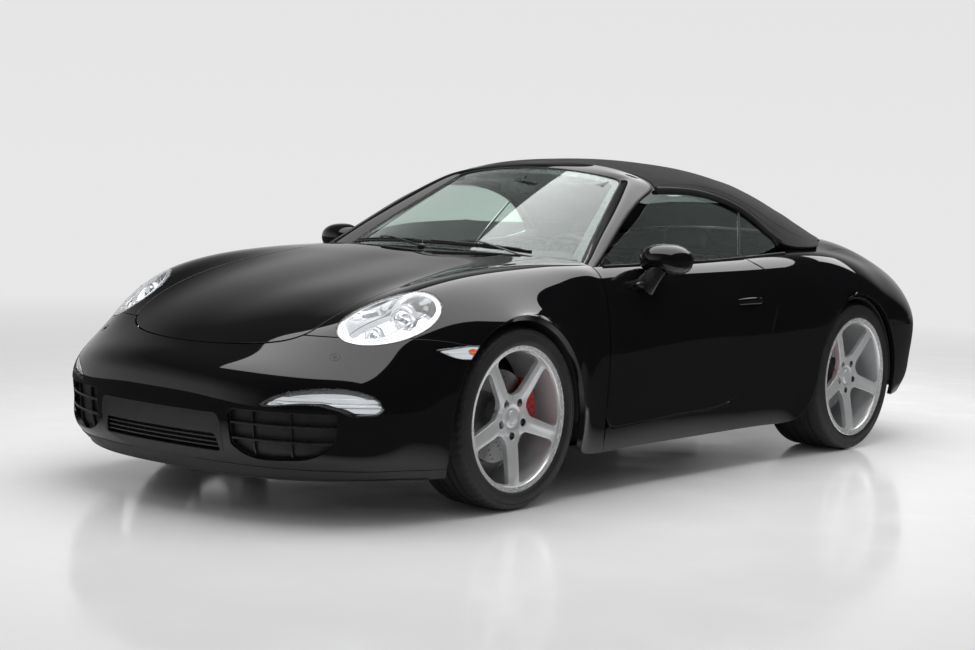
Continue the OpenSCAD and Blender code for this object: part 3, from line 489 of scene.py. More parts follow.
def new_material(name, colour, rough=0.5, metal=0.0, **extra):
    """A Principled material; extra holds further socket values, _ for a space."""
    m = bpy.data.materials.new(name)
    m.use_nodes = True
    m.node_tree.nodes.clear()
    nodes, link = links(m)
    s = nodes.new("ShaderNodeBsdfPrincipled")
    o = nodes.new("ShaderNodeOutputMaterial")
    link.new(s.outputs[0], o.inputs[0])
    s.inputs["Base Color"].default_value = (*colour, 1)
    s.inputs["Roughness"].default_value = rough
    s.inputs["Metallic"].default_value = metal
    for k, v in extra.items():
        s.inputs[k.replace("_", " ")].default_value = v
    return m


def coords(m, scale=(1, 1, 1)):
    nodes, link = links(m)
    t = nodes.new("ShaderNodeTexCoord")
    g = nodes.new("ShaderNodeMapping")
    g.inputs["Scale"].default_value = scale
    link.new(t.outputs["Object"], g.inputs["Vector"])
    return g.outputs[0]


def texture(m, kind, scale, vector=None, **values):
    nodes, link = links(m)
    t = nodes.new("ShaderNodeTex" + kind)
    t.inputs["Scale"].default_value = scale
    for k, v in values.items():
        k = k.replace("_", " ")
        if k in t.inputs:
            t.inputs[k].default_value = v
        else:
            setattr(t, k.replace(" ", "_"), v)
    link.new(vector or coords(m), t.inputs["Vector"])
    return t


def ramp(m, source, stops):
    nodes, link = links(m)
    r = nodes.new("ShaderNodeValToRGB")
    e = r.color_ramp.elements
    while len(e) < len(stops):
        e.new(0.5)
    for k, (pos, col) in zip(e, stops):
        k.position = pos
        k.color = (*col, 1) if isinstance(col, tuple) else (col, col, col, 1)
    link.new(source, r.inputs[0])
    return r.outputs[0]


def math_node(m, op, a, b=None, c=None):
    nodes, link = links(m)
    n = nodes.new("ShaderNodeMath")
    n.operation = op
    for i, x in enumerate((a, b, c)):
        if x is None:
            continue
        if isinstance(x, (int, float)):
            n.inputs[i].default_value = x
        else:
            link.new(x, n.inputs[i])
    return n.outputs[0]


def shader_of(m):
    return next(n for n in m.node_tree.nodes if n.type == "BSDF_PRINCIPLED")


def vary(m, source, socket, stops):
    """Drives a socket of the shader by a texture through a ramp."""
    links(m)[1].new(ramp(m, source, stops), shader_of(m).inputs[socket])


def bump(m, source, strength, distance):
    """Adds a bump under whatever bump the shader already has."""
    nodes, link = links(m)
    b = nodes.new("ShaderNodeBump")
    b.inputs["Strength"].default_value = strength
    b.inputs["Distance"].default_value = distance
    link.new(source, b.inputs["Height"])
    s = shader_of(m).inputs["Normal"]
    if s.is_linked:
        link.new(s.links[0].from_socket, b.inputs["Normal"])
    link.new(b.outputs[0], s)


def noise_bump(m, scale, strength, distance, detail=4):
    t = texture(m, "Noise", scale, Detail=detail)
    bump(m, t.outputs["Fac"], strength, distance)
    return t.outputs["Fac"]


def paint_material(name, colour):
    m = new_material(name, colour, 0.42, Specular_IOR_Level=0.0, Coat_Weight=1.0,
                     Coat_Roughness=0.03, Coat_IOR=1.5)
    f = texture(m, "Noise", 5.0, Detail=2).outputs["Fac"]
    dark = tuple(c*0.93 for c in colour)
    lite = tuple(c*1.07 for c in colour)
    vary(m, f, "Base Color", [(0.3, dark), (0.7, lite)])
    g = texture(m, "Noise", 30.0, Detail=3).outputs["Fac"]
    vary(m, g, "Roughness", [(0.35, 0.4), (0.7, 0.45)])
    noise_bump(m, 420.0, 0.012, 0.00002, 2)
    return m


def plastic_material(name, colour, rough=0.55, grain=900.0, depth=0.25):
    m = new_material(name, colour, rough)
    f = texture(m, "Noise", 25.0, Detail=6).outputs["Fac"]
    vary(m, f, "Base Color", [(0.3, tuple(c*0.75 for c in colour)),
                              (0.75, tuple(min(1, c*1.3) for c in colour))])
    vary(m, f, "Roughness", [(0.25, max(0.02, rough - 0.1)), (0.8, min(1, rough + 0.08))])
    v = texture(m, "Voronoi", grain)
    bump(m, v.outputs["Distance"], depth, 0.0004)
    return m


def metal_material(name, colour, rough, streak=(1, 1, 1), scale=300.0, depth=0.06, metal=1.0,
                   spread=0.06, **extra):
    m = new_material(name, colour, rough, metal, **extra)
    f = texture(m, "Noise", scale, coords(m, streak), Detail=5).outputs["Fac"]
    vary(m, f, "Roughness", [(0.3, max(0.02, rough - spread)), (0.75, rough + spread)])
    g = texture(m, "Noise", 7.0, Detail=4).outputs["Fac"]
    vary(m, g, "Base Color", [(0.3, tuple(c*0.9 for c in colour)),
                              (0.75, tuple(min(1, c*1.06) for c in colour))])
    bump(m, f, depth, 0.0003)
    return m


def glass_material(name, colour, rough=0.0, ior=1.45, weight=1.0, dust=0.02):
    m = new_material(name, colour, rough, Transmission_Weight=weight, IOR=ior)
    f = texture(m, "Noise", 14.0, Detail=6).outputs["Fac"]
    vary(m, f, "Roughness", [(0.45, rough), (0.8, rough + dust)])
    return m


def weave_material(name, colour, pitch, rough=0.9, depth=0.5, sheen=0.25):
    """Plain-woven cloth: crossing threads at this pitch in metres."""
    m = new_material(name, colour, rough, Sheen_Weight=sheen, Sheen_Roughness=0.5,
                     Specular_IOR_Level=0.25)
    v = coords(m)
    k = 1.0/pitch
    a = texture(m, "Wave", k/2.0, v, bands_direction="X", Distortion=0.3, Detail=1.0)
    b = texture(m, "Wave", k/2.0, v, bands_direction="Y", Distortion=0.3, Detail=1.0)
    c = texture(m, "Wave", k/2.0, v, bands_direction="Z", Distortion=0.3, Detail=1.0)
    s = math_node(m, "ADD", a.outputs["Fac"], b.outputs["Fac"])
    s = math_node(m, "MULTIPLY", math_node(m, "ADD", s, c.outputs["Fac"]), 0.333)
    f = texture(m, "Noise", 6.0, Detail=8).outputs["Fac"]
    mix = math_node(m, "ADD", math_node(m, "MULTIPLY", s, 0.5), math_node(m, "MULTIPLY", f, 0.5))
    vary(m, mix, "Base Color", [(0.3, tuple(x*0.55 for x in colour)),
                                (0.7, tuple(min(1, x*1.5) for x in colour))])
    bump(m, s, depth, 0.0006)
    noise_bump(m, 35.0, 0.12, 0.002, 3)
    return m


def leather_material(name, colour, rough=0.5):
    m = new_material(name, colour, rough, Specular_IOR_Level=0.35)
    v = texture(m, "Voronoi", 420.0, feature="DISTANCE_TO_EDGE")
    bump(m, v.outputs["Distance"], 0.35, 0.0005)
    f = texture(m, "Noise", 18.0, Detail=6).outputs["Fac"]
    vary(m, f, "Base Color", [(0.3, tuple(c*0.7 for c in colour)),
                              (0.75, tuple(c*1.35 for c in colour))])
    vary(m, f, "Roughness", [(0.3, rough - 0.1), (0.75, rough + 0.1)])
    noise_bump(m, 70.0, 0.15, 0.0012, 3)
    return m


PAINT = paint_material("black_paint", (0.0045, 0.0045, 0.005))
INNER = plastic_material("painted_inside", (0.012, 0.012, 0.013), 0.35, 300.0, 0.05)
BLACK = plastic_material("textured_black", (0.016, 0.016, 0.017), 0.5)
SATIN = plastic_material("satin_black", (0.01, 0.01, 0.011), 0.3, 500.0, 0.05)
RUBBER = plastic_material("seal_rubber", (0.012, 0.012, 0.012), 0.62, 700.0, 0.12)
TYRE = plastic_material("tyre_rubber", (0.017, 0.017, 0.018), 0.6, 1200.0, 0.2)
CANVAS = weave_material("charcoal_canvas", (0.009, 0.0092, 0.0105), 0.0022)
shader_of(CANVAS).inputs["Specular IOR Level"].default_value = 0.08
shader_of(CANVAS).inputs["Sheen Weight"].default_value = 0.1
LINING = weave_material("head_lining", (0.05, 0.05, 0.052), 0.0016)
CARPET = weave_material("carpet", (0.014, 0.014, 0.015), 0.003, 0.98, 0.9)
LEATHER = leather_material("black_leather", (0.016, 0.016, 0.017))
DASH = leather_material("dash_skin", (0.014, 0.014, 0.015), 0.55)
THREAD = weave_material("stitching", (0.05, 0.05, 0.052), 0.0012)
ALLOY = metal_material("silver_alloy", (0.74, 0.75, 0.76), 0.34, scale=500.0, metal=0.55,
                       Coat_Weight=0.7, Coat_Roughness=0.06)
LIP = metal_material("machined_lip", (0.86, 0.86, 0.87), 0.26, (1, 40, 1), 60.0, 0.05, metal=0.6)
CHROME = metal_material("chrome", (0.82, 0.83, 0.84), 0.06, scale=80.0, depth=0.01, spread=0.02)
STEEL = metal_material("disc_steel", (0.5, 0.5, 0.5), 0.34, (1, 1, 1), 220.0, 0.12)
DARK_METAL = metal_material("cast_metal", (0.12, 0.12, 0.125), 0.55, scale=160.0, depth=0.25,
                            metal=0.7)
ENGINE = metal_material("engine_casting", (0.3, 0.3, 0.31), 0.5, scale=90.0, depth=0.3, metal=0.8)
# Caliper red, dimmed below the enamel's own red to paint in the shade the calipers sit in behind
# the spokes; the dial needles use it too.
RED = metal_material("caliper_enamel", (0.35, 0.008, 0.008), 0.28, scale=120.0, depth=0.05,
                     metal=0.0, Coat_Weight=0.7)
GLASS = glass_material("tinted_glass", (0.80, 0.90, 0.86), dust=0.01)
SIDE_GLASS = glass_material("side_tinted_glass", (0.75, 0.85, 0.80), dust=0.01)
REAR_GLASS_M = glass_material("dark_rear_glass", (0.30, 0.34, 0.33), dust=0.01)
LENS = glass_material("clear_lens", (0.96, 0.97, 0.98), dust=0.01)
RED_LENS = glass_material("red_lens", (0.75, 0.02, 0.015), 0.03, dust=0.05)
SMOKE = glass_material("smoked_lens", (0.35, 0.35, 0.36), 0.02)
BOWL = metal_material("lamp_bowl", (0.55, 0.56, 0.58), 0.25, scale=40.0, depth=0.02)
REFLECTOR = metal_material("reflector", (0.86, 0.87, 0.9), 0.05, scale=30.0, depth=0.01,
                           spread=0.02)
ORANGE = glass_material("orange_lens", (1.0, 0.33, 0.02), 0.05)
MIRROR_GLASS = metal_material("mirror_glass", (0.8, 0.84, 0.86), 0.02, scale=5.0, depth=0.0,
                              spread=0.01)


# ---------------------------------------------------------------- body skin and panels
FINE = 8
skin_p, skin_n = surface(mirror_rows(BODY_ROWS), FINE, FINE)


def rows(a, b):
    return skin_p[a*FINE:b*FINE + 1], skin_n[a*FINE:b*FINE + 1]


def panel(name, part, fields, body, nodes, slot="paint", **how):
    b = Build()
    shell(b, part[0], part[1], fields, mats=(0, 1), **how)
    return place(b.object(name, [PAINT, INNER]), body, slot, *nodes)


half = GAP/2
cowl_box = both_of(lambda p: np.minimum(p[:, 0] - 600, 860 - p[:, 0]),
                   lambda p: 545 - np.abs(p[:, 1]), lambda p: p[:, 2] - 700)
panel("hood_panel", rows(5, 17), [plan(HOOD), lambda p: p[:, 2] - 560], "hood", ["hood"])
panel("front_fender_panels", rows(4, 17),
      [side(FENDER), out(plan(HOOD, GAP)), out(side(DOOR, GAP, 560)), out(lamp(FIT)),
       out(side(LAMP_SIDE, FIT)), out(plan(COWL, 4, 700)), out(cowl_box)],
      "body", ["front_fenders"])


def rear_arch(p):
    """Outside the round gap kept about the rear tyre."""
    x, _, z = REAR_HUB
    r = np.hypot(p[:, 0] - x, p[:, 2] - z)
    return np.where(np.abs(p[:, 1]) > ARCH_INNER, r - (z + ARCH_GAP), 100)


panel("rear_quarter_panels", rows(14, 33),
      [side(QUARTER), rear_arch, out(side(DOOR, GAP, 560)), out(side(TAIL_SIDE, FIT)),
       out(plan(DECK, FIT, 600)), out(plan(CABIN)), out(plan(HEM, -14)),
       out(front(TAIL_LAMP, FIT, *TAIL_X))], "body", ["rear_quarters"])
panel("deck_panel", rows(23, 32),
      [plan(DECK, 0, DECK_Z), out(plan(LID, GAP)), out(plan(HEM, -14)),
       out(front(TAIL_LAMP, FIT, *TAIL_X))], "body", ["deck_cover"])
panel("front_bumper_panel", rows(0, 13),
      [side(LAMP_SIDE), out(plan(HOOD, GAP)), out(lamp(FIT)), out(front(INTAKE, 0, 1830)),
       out(front(DAY_LAMP, FIT, 1790)), out(front(LOW_INTAKE, 0, 1830))],
      "body", ["front_bumper"])
panel("rear_bumper_panel", rows(26, 35),
      [side(TAIL_SIDE), out(front(PIPES, 0, *TAIL_X)), out(front(TAIL_LAMP, FIT, *TAIL_X)),
       out(plan(DECK, FIT, DECK_Z))], "body", ["rear_bumper"])
panel("engine_lid_panel", rows(25, 32), [plan(LID, 0, DECK_Z)], "engine_lid", ["engine_lid"])
b = Build()
shell(b, *rows(13, 23), [side(DOOR), lambda p: p[:, 1] - 757], thick=10.0, mats=(0, 1))
left_door_panel = b.object("left_door_panel", [PAINT, INNER])
right_door_panel = mirrored(left_door_panel, "right_door_panel")
for ob, s in ((left_door_panel, "left_door"), (right_door_panel, "right_door")):
    place(ob, s, "paint", s)


def sweep(b, path, profile, up=(0, 0, 1), mat=0, closed=False, taper=None):
    """Adds a bar: profile (k, 2) in sideways and up mm, carried along the path."""
    path = np.asarray(path, float)
    profile = np.asarray(profile, float)
    k, n = len(profile), len(path)
    if closed:
        t = unit(np.roll(path, -1, 0) - np.roll(path, 1, 0))
    else:
        t = unit(np.gradient(path, axis=0))
    ups = np.broadcast_to(np.asarray(up, float), path.shape)
    s = unit(np.cross(t, ups))
    w = np.cross(s, t)
    size = np.ones(n) if taper is None else np.asarray(taper)
    v = (path[:, None] + s[:, None]*(profile[None, :, :1]*size[:, None, None])
         + w[:, None]*(profile[None, :, 1:]*size[:, None, None])).reshape(-1, 3)
    faces = []
    for i in range(n if closed else n - 1):
        j = (i + 1) % n
        faces += [(i*k + a, i*k + (a+1) % k, j*k + (a+1) % k, j*k + a) for a in range(k)]
    if not closed:
        faces += [tuple(range(k))[::-1], tuple((n-1)*k + a for a in range(k))]
    b.add(v, faces, None, mat)


def oval(rx, ry, n=12, power=2.0):
    a = np.arange(n)*2*math.pi/n
    c, s = np.cos(a), np.sin(a)
    return np.stack([rx*np.sign(c)*np.abs(c)**(2/power), ry*np.sign(s)*np.abs(s)**(2/power)], 1)


def along(points, n=6):
    """A smooth path through points."""
    w, _ = spline(len(points), n)
    return w @ np.asarray(points, float)


def skin_at(x, y, z0=0.0):
    """The nearest skin point and normal to a place in plan, for z above z0."""
    d = np.hypot(skin_p[..., 0] - x, skin_p[..., 1] - y) + np.where(skin_p[..., 2] < z0, 1e4, 0)
    k = np.unravel_index(np.argmin(d), d.shape)
    return skin_p[k], skin_n[k]


def skin_side(x, z, y0=300.0):
    """The skin point and normal on the left at x and height z."""
    d = np.hypot(skin_p[..., 0] - x, skin_p[..., 2] - z) + np.where(skin_p[..., 1] < y0, 1e4, 0)
    k = np.unravel_index(np.argmin(d), d.shape)
    i, j = min(max(k[0], 1), d.shape[0] - 2), min(max(k[1], 1), d.shape[1] - 2)
    p, n = skin_p[i, j], skin_n[i, j]
    target = np.array([x, p[1], z])
    y = p[1] - (n[0]*(x - p[0]) + n[2]*(z - p[2]))/max(n[1], 0.05)
    return np.array([target[0], y, target[2]]), n


# ---------------------------------------------------------------- soft top
top_p, top_n = surface(mirror_rows(TOP_ROWS), 10, 12)
rr, cc = np.meshgrid(np.linspace(0, 9, top_p.shape[0]), np.linspace(-5, 5, top_p.shape[1]),
                     indexing="ij")
# Sewn side seams and bows showing faintly through the cloth.
ridge = 1.6*np.exp(-((np.abs(cc) - 3.35)/0.05)**2)
bows = sum(2.2*np.exp(-((rr - k)/0.22)**2) for k in (2.2, 4.4, 6.3))*np.clip(1 - (cc/4.6)**4, 0, 1)
cloth_p = top_p + top_n*(ridge + bows - 2.2)[..., None]
WINDOW = [[-1230, -300], [-1222, -352], [-1190, -370], [-1020, -370], [-988, -350],
          [-980, -300], [-980, 300], [-988, 350], [-1020, 370], [-1190, 370], [-1222, 352],
          [-1230, 300]]


def flat_plan(outline, grow=0.0, z0=900):
    poly = rounded(outline)
    return lambda p: np.minimum(inside(poly, p[:, 0], p[:, 1]) + grow, p[:, 2] - z0)


b = Build()
shell(b, cloth_p, top_n, [out(flat_plan(WINDOW))], thick=7.0, r=2.5, mats=(0, 1))
canopy = b.object("soft_top_cloth", [CANVAS, LINING])
place(canopy, "body", "canvas", "soft_top")
b = Build()
shell(b, top_p, top_n, [flat_plan(WINDOW, -0.4)], top=-3.0, thick=4.0, r=0.8)
place(b.object("rear_window_glass", [REAR_GLASS_M]), "body", "tinted_glass", "rear_window")
b = Build()
shell(b, top_p, top_n, [flat_plan(WINDOW, 9), out(flat_plan(WINDOW, -13))], top=1.6,
      thick=3.2, r=1.4)
# Seal strip under the cloth's side edge, over the side windows.
for s in (1, -1):
    edge = top_p[:, -1].copy()[:52]
    edge[:, 1] -= 4
    edge = edge*np.array([1, s, 1])
    sweep(b, edge, oval(9, 13, 14, 3.0))
    rail = top_p[:, -2].copy()[:60]*np.array([1, s, 1]) - top_n[:60, -2]*np.array([1, s, 1])*17
    sweep(b, rail, oval(16, 9, 12, 3.0))
hem = top_p[-1] + np.array([-2, 0, -3])
sweep(b, hem, oval(7, 5, 10))
place(b.object("soft_top_seals", [RUBBER]), "body", "black_plastic")
# A bound hem and lock-stitching just above the rubber.
b = Build()
for s in (1, -1):
    for col in (5, 9):
        line = cloth_p[2:, -1-col] + top_n[2:, -1-col]*0.4
        sweep(b, line[:(50 if col == 5 else 80)]*np.array([1, s, 1]), oval(0.9, 0.5, 6))
line = cloth_p[-4] + top_n[-4]*0.4
sweep(b, line[6:-6], oval(0.9, 0.5, 6))
place(b.object("soft_top_stitching", [THREAD]), "body", "canvas")


# ---------------------------------------------------------------- glass
def screen(u, v):
    c = np.stack([800 - 688*u, 0*u, 893 + 347*u + 44*u*(1-u)], -1)
    s = np.stack([640 - 540*u, 0*u, 858 + 340*u + 32*u*(1-u)], -1)
    m = c + (s - c)*(np.abs(v)**2.3)[..., None]
    m[..., 1] = (645 - 205*u)*v
    return m


uu, vv = np.meshgrid(np.linspace(0, 0.99, 41), np.linspace(-0.99, 0.99, 81), indexing="ij")
glass_p = screen(uu, vv)
glass_n = grid_normals(glass_p)
b = Build()
shell(b, glass_p, glass_n, [], thick=5.0, r=0.6)
place(b.object("windscreen_glass", [GLASS]), "body", "tinted_glass", "windscreen")
band = np.maximum(np.abs(vv) - 0.935, np.maximum(uu - 0.93, 0.035 - uu))*400
b = Build()


def band_field(p, _p=glass_p.reshape(-1, 3), _b=band.ravel()):
    q = np.zeros(len(p))
    for i in range(0, len(p), 500):
        d = ((p[i:i+500, None] - _p[None])**2).sum(-1)
        k = np.argpartition(d, 3, 1)[:, :3]
        w = 1/(np.take_along_axis(d, k, 1) + 1e-3)
        q[i:i+500] = (w*_b[k]).sum(1)/w.sum(1)
    return q


shell(b, glass_p, glass_n, [band_field], top=-5.3, thick=0.8, r=0.1)
place(b.object("windscreen_border", [SATIN]), "body", "black_plastic")

PILLAR = [
    [[738,664,826],[744,700,830],[746,736,818]],
    [screen(np.array(0.0), np.array(1.0)), [668,692,868], [694,737,850]],
    [screen(np.array(0.25), np.array(1.0)), [528,650,964], [546,699,936]],
    [screen(np.array(0.5), np.array(1.0)), [388,606,1048], [398,654,1026]],
    [screen(np.array(0.75), np.array(1.0)), [248,558,1130], [250,616,1106]],
    [screen(np.array(0.92), np.array(1.0)), [150,520,1184], [142,590,1148]],
    [screen(np.array(1.0), np.array(0.97)), [86,476,1214], [50,556,1192]],
    [screen(np.array(1.0), np.array(0.75)), [80,338,1236], [40,350,1249]],
    [screen(np.array(1.0), np.array(0.36)), [84,162,1251], [40,165,1265]],
    [screen(np.array(1.0), np.array(0.0)), [85,0,1257], [40,0,1269]]]
pil = np.array([[list(map(float, q)) for q in r] for r in PILLAR])
hoop_p, hoop_n = surface(np.concatenate([pil, pil[8::-1]*np.array([1, -1, 1])]), 8, 8)
b = Build()
shell(b, hoop_p, hoop_n, [], thick=16.0, r=3.0, mats=(0, 1))
place(b.object("windscreen_surround", [PAINT, INNER]), "body", "paint", "windscreen_frame")
b = Build()
sweep(b, hoop_p[:, 0] + hoop_n[:, 0]*0.5, oval(4.5, 3.5, 8))
for s in (1, -1):
    sweep(b, (hoop_p[8:52, -1] - hoop_n[8:52, -1]*6)*np.array([1, s, 1]), oval(6, 8, 10, 3.0))
bottom = np.stack([screen(np.full(41, 0.0), np.linspace(-0.98, 0.98, 41))], 0)[0]
sweep(b, bottom + np.array([7, 0, -1]), oval(8, 4, 10))
place(b.object("windscreen_seals", [RUBBER]), "body", "black_plastic")
# Cowl panel in front of the glass, black.
b = Build()
shell(b, *rows(12, 18), [plan(COWL, -1, 700)], top=-2.5, thick=14.0, r=1.5)
place(b.object("cowl_panel", [BLACK]), "body", "black_plastic")


def glass_y(x, z):
    return 748 - 0.487*(z - 855) - np.where(x > 0, 22*x*x/458000, 0) \
        + 7*(1 - ((z - 1000)/160)**2)


gx, gz = np.meshgrid(np.linspace(720, -800, 96), np.linspace(1190, 798, 42), indexing="ij")
side_p = np.stack([gx, glass_y(gx, gz), gz], -1)
side_n = grid_normals(side_p)


def pane(name, outline, body, nodes, mat=None, top=0.0, thick=5.0, slot="tinted_glass"):
    b = Build()
    shell(b, side_p, side_n, [side(outline)], top=top, thick=thick, r=0.7)
    ob = b.object("left_" + name, [mat or SIDE_GLASS])
    twin = mirrored(ob, "right_" + name)
    if body == "body":
        place(ob, "body", slot, *nodes)
        place(twin, "body", slot)
    else:
        place(ob, "left_door", slot, *[n for n in nodes if n.startswith("left")])
        place(twin, "right_door", slot, *[n for n in nodes if n.startswith("right")])
    return ob


pane("door_glass", DOOR_GLASS, "door", ["left_window", "right_window"])
pane("quarter_glass", REAR_GLASS, "body", ["quarter_windows"])
pane("mirror_sail", [[640,806],[640,858],[566,903],[540,850],[536,806]], "door", [], SATIN,
     top=2.2, thick=9.0, slot="black_plastic")


def side_line(points, lift):
    p = along(points, 8)
    return np.stack([p[:, 0], glass_y(p[:, 0], p[:, 1]) + lift, p[:, 1]], 1)


left_bits, right_bits = Build(), Build()
for bb, s in ((left_bits, 1), (right_bits, -1)):
    m = np.array([1, s, 1])
    sweep(bb, side_line([[-505,1090],[-440,985],[-382,884],[-376,868]], -1)*m, oval(7, 6, 10, 3.0))
    sweep(bb, side_line([[-505,1090],[-600,1050],[-680,990],[-722,936]], 0)*m, oval(7, 8, 10, 3.0))
for bb, s in ((left_bits, 1), (right_bits, -1)):
    path = np.array([[x, 752, skin_at(x, 757, 700)[0][2] + 2]
                     for x in np.linspace(-722, -385, 24)])
    sweep(bb, path*np.array([1, s, 1]), oval(9, 6, 10, 3.0))
place(left_bits.object("left_quarter_seals", [RUBBER]), "body", "black_plastic")
place(right_bits.object("right_quarter_seals", [RUBBER]), "body", "black_plastic")
for s, d in ((1, "left"), (-1, "right")):
    b = Build()
    path = np.array([[x, 757.5, skin_at(x, 757, 700)[0][2] + 1.5]
                     for x in np.linspace(640, -378, 50)])
    path[:, 2] = np.convolve(np.pad(path[:, 2], 3, mode="edge"), np.ones(7)/7, "valid")
    sweep(b, path*np.array([1, s, 1]), oval(8, 5, 10, 3.0))
    place(b.object(d + "_belt_seal", [RUBBER]), d + "_door", "black_plastic")


# ---------------------------------------------------------------- wheels
SPOKES = [math.radians(72*k + 18) for k in range(5)]


def to_hub(hub):
    """Local wheel points, z out along the axle, to the left wheel's place."""
    return lambda v: np.stack([hub[0] + v[:, 0], hub[1] + v[:, 2], hub[2] - v[:, 1]], 1)


def turned(b, move):
    """Moves all of b's vertices and turns its normals the same way."""
    zero = move(np.zeros((1, 3)))
    b.v = [move(v) for v in b.v]
    b.n = [None if n is None else list(move(np.array(n)) - zero) for n in b.n]


def revolve(b, profile, seg=96, mat=0, at=(0, 0, 0), closed=False, bend=None):
    """Spins (r, z) points about local z; their order runs with the surface's left side out."""
    p = np.asarray(profile, float)
    a = np.arange(seg)*2*math.pi/seg
    v = np.stack([np.outer(np.cos(a), p[:, 0]), np.outer(np.sin(a), p[:, 0]),
                  np.broadcast_to(p[:, 1], (seg, len(p)))], -1)
    if bend is not None:
        v = bend(v, a)
    k = len(p)
    m = k if closed else k - 1
    faces = [(i*k + j, ((i+1) % seg)*k + j, ((i+1) % seg)*k + (j+1) % k, i*k + (j+1) % k)
             for i in range(seg) for j in range(m)]
    b.add(v.reshape(-1, 3) + np.array(at, float), faces, None, mat)


def smin(a, b, k):
    h = np.clip(0.5 + 0.5*(b - a)/k, 0, 1)
    return b*(1 - h) + a*h - k*h*(1 - h)


def offset_to_spoke(x, y):
    """How far sideways of the nearest spoke's centre line a wheel point is."""
    t = np.arctan2(y, x)
    d = np.stack([(t - s + math.pi) % (2*math.pi) - math.pi for s in SPOKES])
    k = np.argmin(np.abs(d), 0)
    near = np.take_along_axis(d, k[None], 0)[0]
    return np.hypot(x, y)*np.sin(near)


def openings(r_in, r_out, wide):
    """The five gaps between spokes, their corners round."""
    def field(p):
        r, t = np.hypot(p[:, 0], p[:, 1]), np.arctan2(p[:, 1], p[:, 0])
        best = np.full(len(p), -1e3)
        w = wide - 5*np.clip((r - r_in)/(r_out - r_in), 0, 1)
        for s in SPOKES:
            a = (t - s) % (2*math.pi)
            a = np.where(a > math.pi*1.5, a - 2*math.pi, a)
            u = r*np.sin(np.minimum(a, math.pi/2)) - w
            c = math.radians(72) - a
            u2 = r*np.sin(np.clip(c, -math.pi/2, math.pi/2)) - w
            u = np.where(a < -0.2, -50, u)
            f = smin(smin(u, u2, 26), smin(r_out - r, r - r_in, 10), 24)
            best = np.maximum(best, f)
        return best
    return field


def circles(radius, pcd_r, angles):
    def field(p):
        return np.max([radius - np.hypot(p[:, 0] - pcd_r*math.cos(a),
                                         p[:, 1] - pcd_r*math.sin(a)) for a in angles], 0)
    return field


def polar(radii, seg, height):
    """A closed polar grid facing +z: rows go round, columns go outwards."""
    a = np.linspace(0, 2*math.pi, seg + 1)[:-1]
    r = np.asarray(radii, float)
    x, y = np.outer(np.cos(a), r), np.outer(np.sin(a), r)
    e = 0.5
    z = height(x, y)
    gx = (height(x + e, y) - height(x - e, y))/(2*e)
    gy = (height(x, y + e) - height(x, y - e))/(2*e)
    return np.stack([x, y, z], -1), unit(np.stack([-gx, -gy, np.ones_like(z)], -1))


def make_rim(hub, w, dish):
    """Five spokes in a barrel w wide; dish is how far out the hub's face lies."""
    lip, root = w/2 - 7, dish + 30

    def height(x, y):
        r = np.hypot(x, y)
        o = offset_to_spoke(x, y)
        t = np.clip((r - 70)/(238 - 70), 0, 1)
        z = root + (lip - 3 - root)*(1.35*t - 0.35*t*t)
        crown = np.clip((r - 60)/50, 0, 1)*np.clip((250 - r)/30, 0, 1)
        z = z + crown*(3.2*np.tanh(o/11) - 3.5*(o/30)**2)
        return z - 6*np.exp(-((r - 37)/8)**2)

    b = Build()
    p, n = polar(np.concatenate([np.linspace(27, 78, 12), np.linspace(81, 246, 34)]), 240, height)
    shell(b, p, n, [out(openings(86, 240, 30.5)), out(circles(14.5, 65, SPOKES))], thick=24,
          r=3.2, wrap=True)
    # The rim's machined lip face.
    ring = [(246, lip - 3), (249, lip + 2), (262, lip + 5.5), (268, lip + 6.5), (271, lip + 5),
            (271.5, lip - 1), (266, lip - 4), (258, lip - 10), (256, lip - 26), (262, lip - 40)]
    revolve(b, ring[::-1][5:], 180, 1)
    barrel = [(246, lip - 3), (243.5, lip - 9), (243, lip - 24), (240, lip - 60), (242, 0),
              (245, -w/2 + 30), (256, -w/2 + 16), (264, -w/2 + 4), (271, -w/2 + 1)]
    revolve(b, barrel, 180, 0)
    revolve(b, [(271, -w/2 + 1), (262, -w/2 + 18), (251, -w/2 + 30), (248, 0), (258, lip - 24),
                (266, lip - 4), (271.5, lip - 1)], 120, 0)
    # Hub drum behind the face, bolt recess walls and the bolts; the recess walls and floor are dark
    # cast metal, painted shade inside the bolt holes.
    revolve(b, [(27, root - 30), (74, root - 30), (80, root - 20)][::-1], 96, 0)
    for a in SPOKES:
        c = (65*math.cos(a), 65*math.sin(a))
        z = root
        # Recess wall and floor in dark cast metal as painted shade.
        revolve(b, [(14.4, z - 2), (14.4, z - 22), (0.01, z - 22)], 32, 2, (*c, 0))
        revolve(b, [(0.01, z - 7), (5, z - 7), (6.5, z - 8.5), (8.2, z - 9), (8.6, z - 10),
                    (8.6, z - 21)][::-1], 6, 2, (*c, 0))
    # Plain centre cap.
    revolve(b, [(30, root - 8), (29, root - 1.5), (27, root + 0.6), (24.5, root + 0.8),
                (24, root - 0.2), (23, root - 0.2), (22.4, root + 1.4), (16, root + 2.8),
                (8, root + 3.5), (0.01, root + 3.7)], 64, 3)
    turned(b, to_hub(hub))
    ob = b.object("front_left_rim_x", [ALLOY, LIP, DARK_METAL, ALLOY])
    return ob


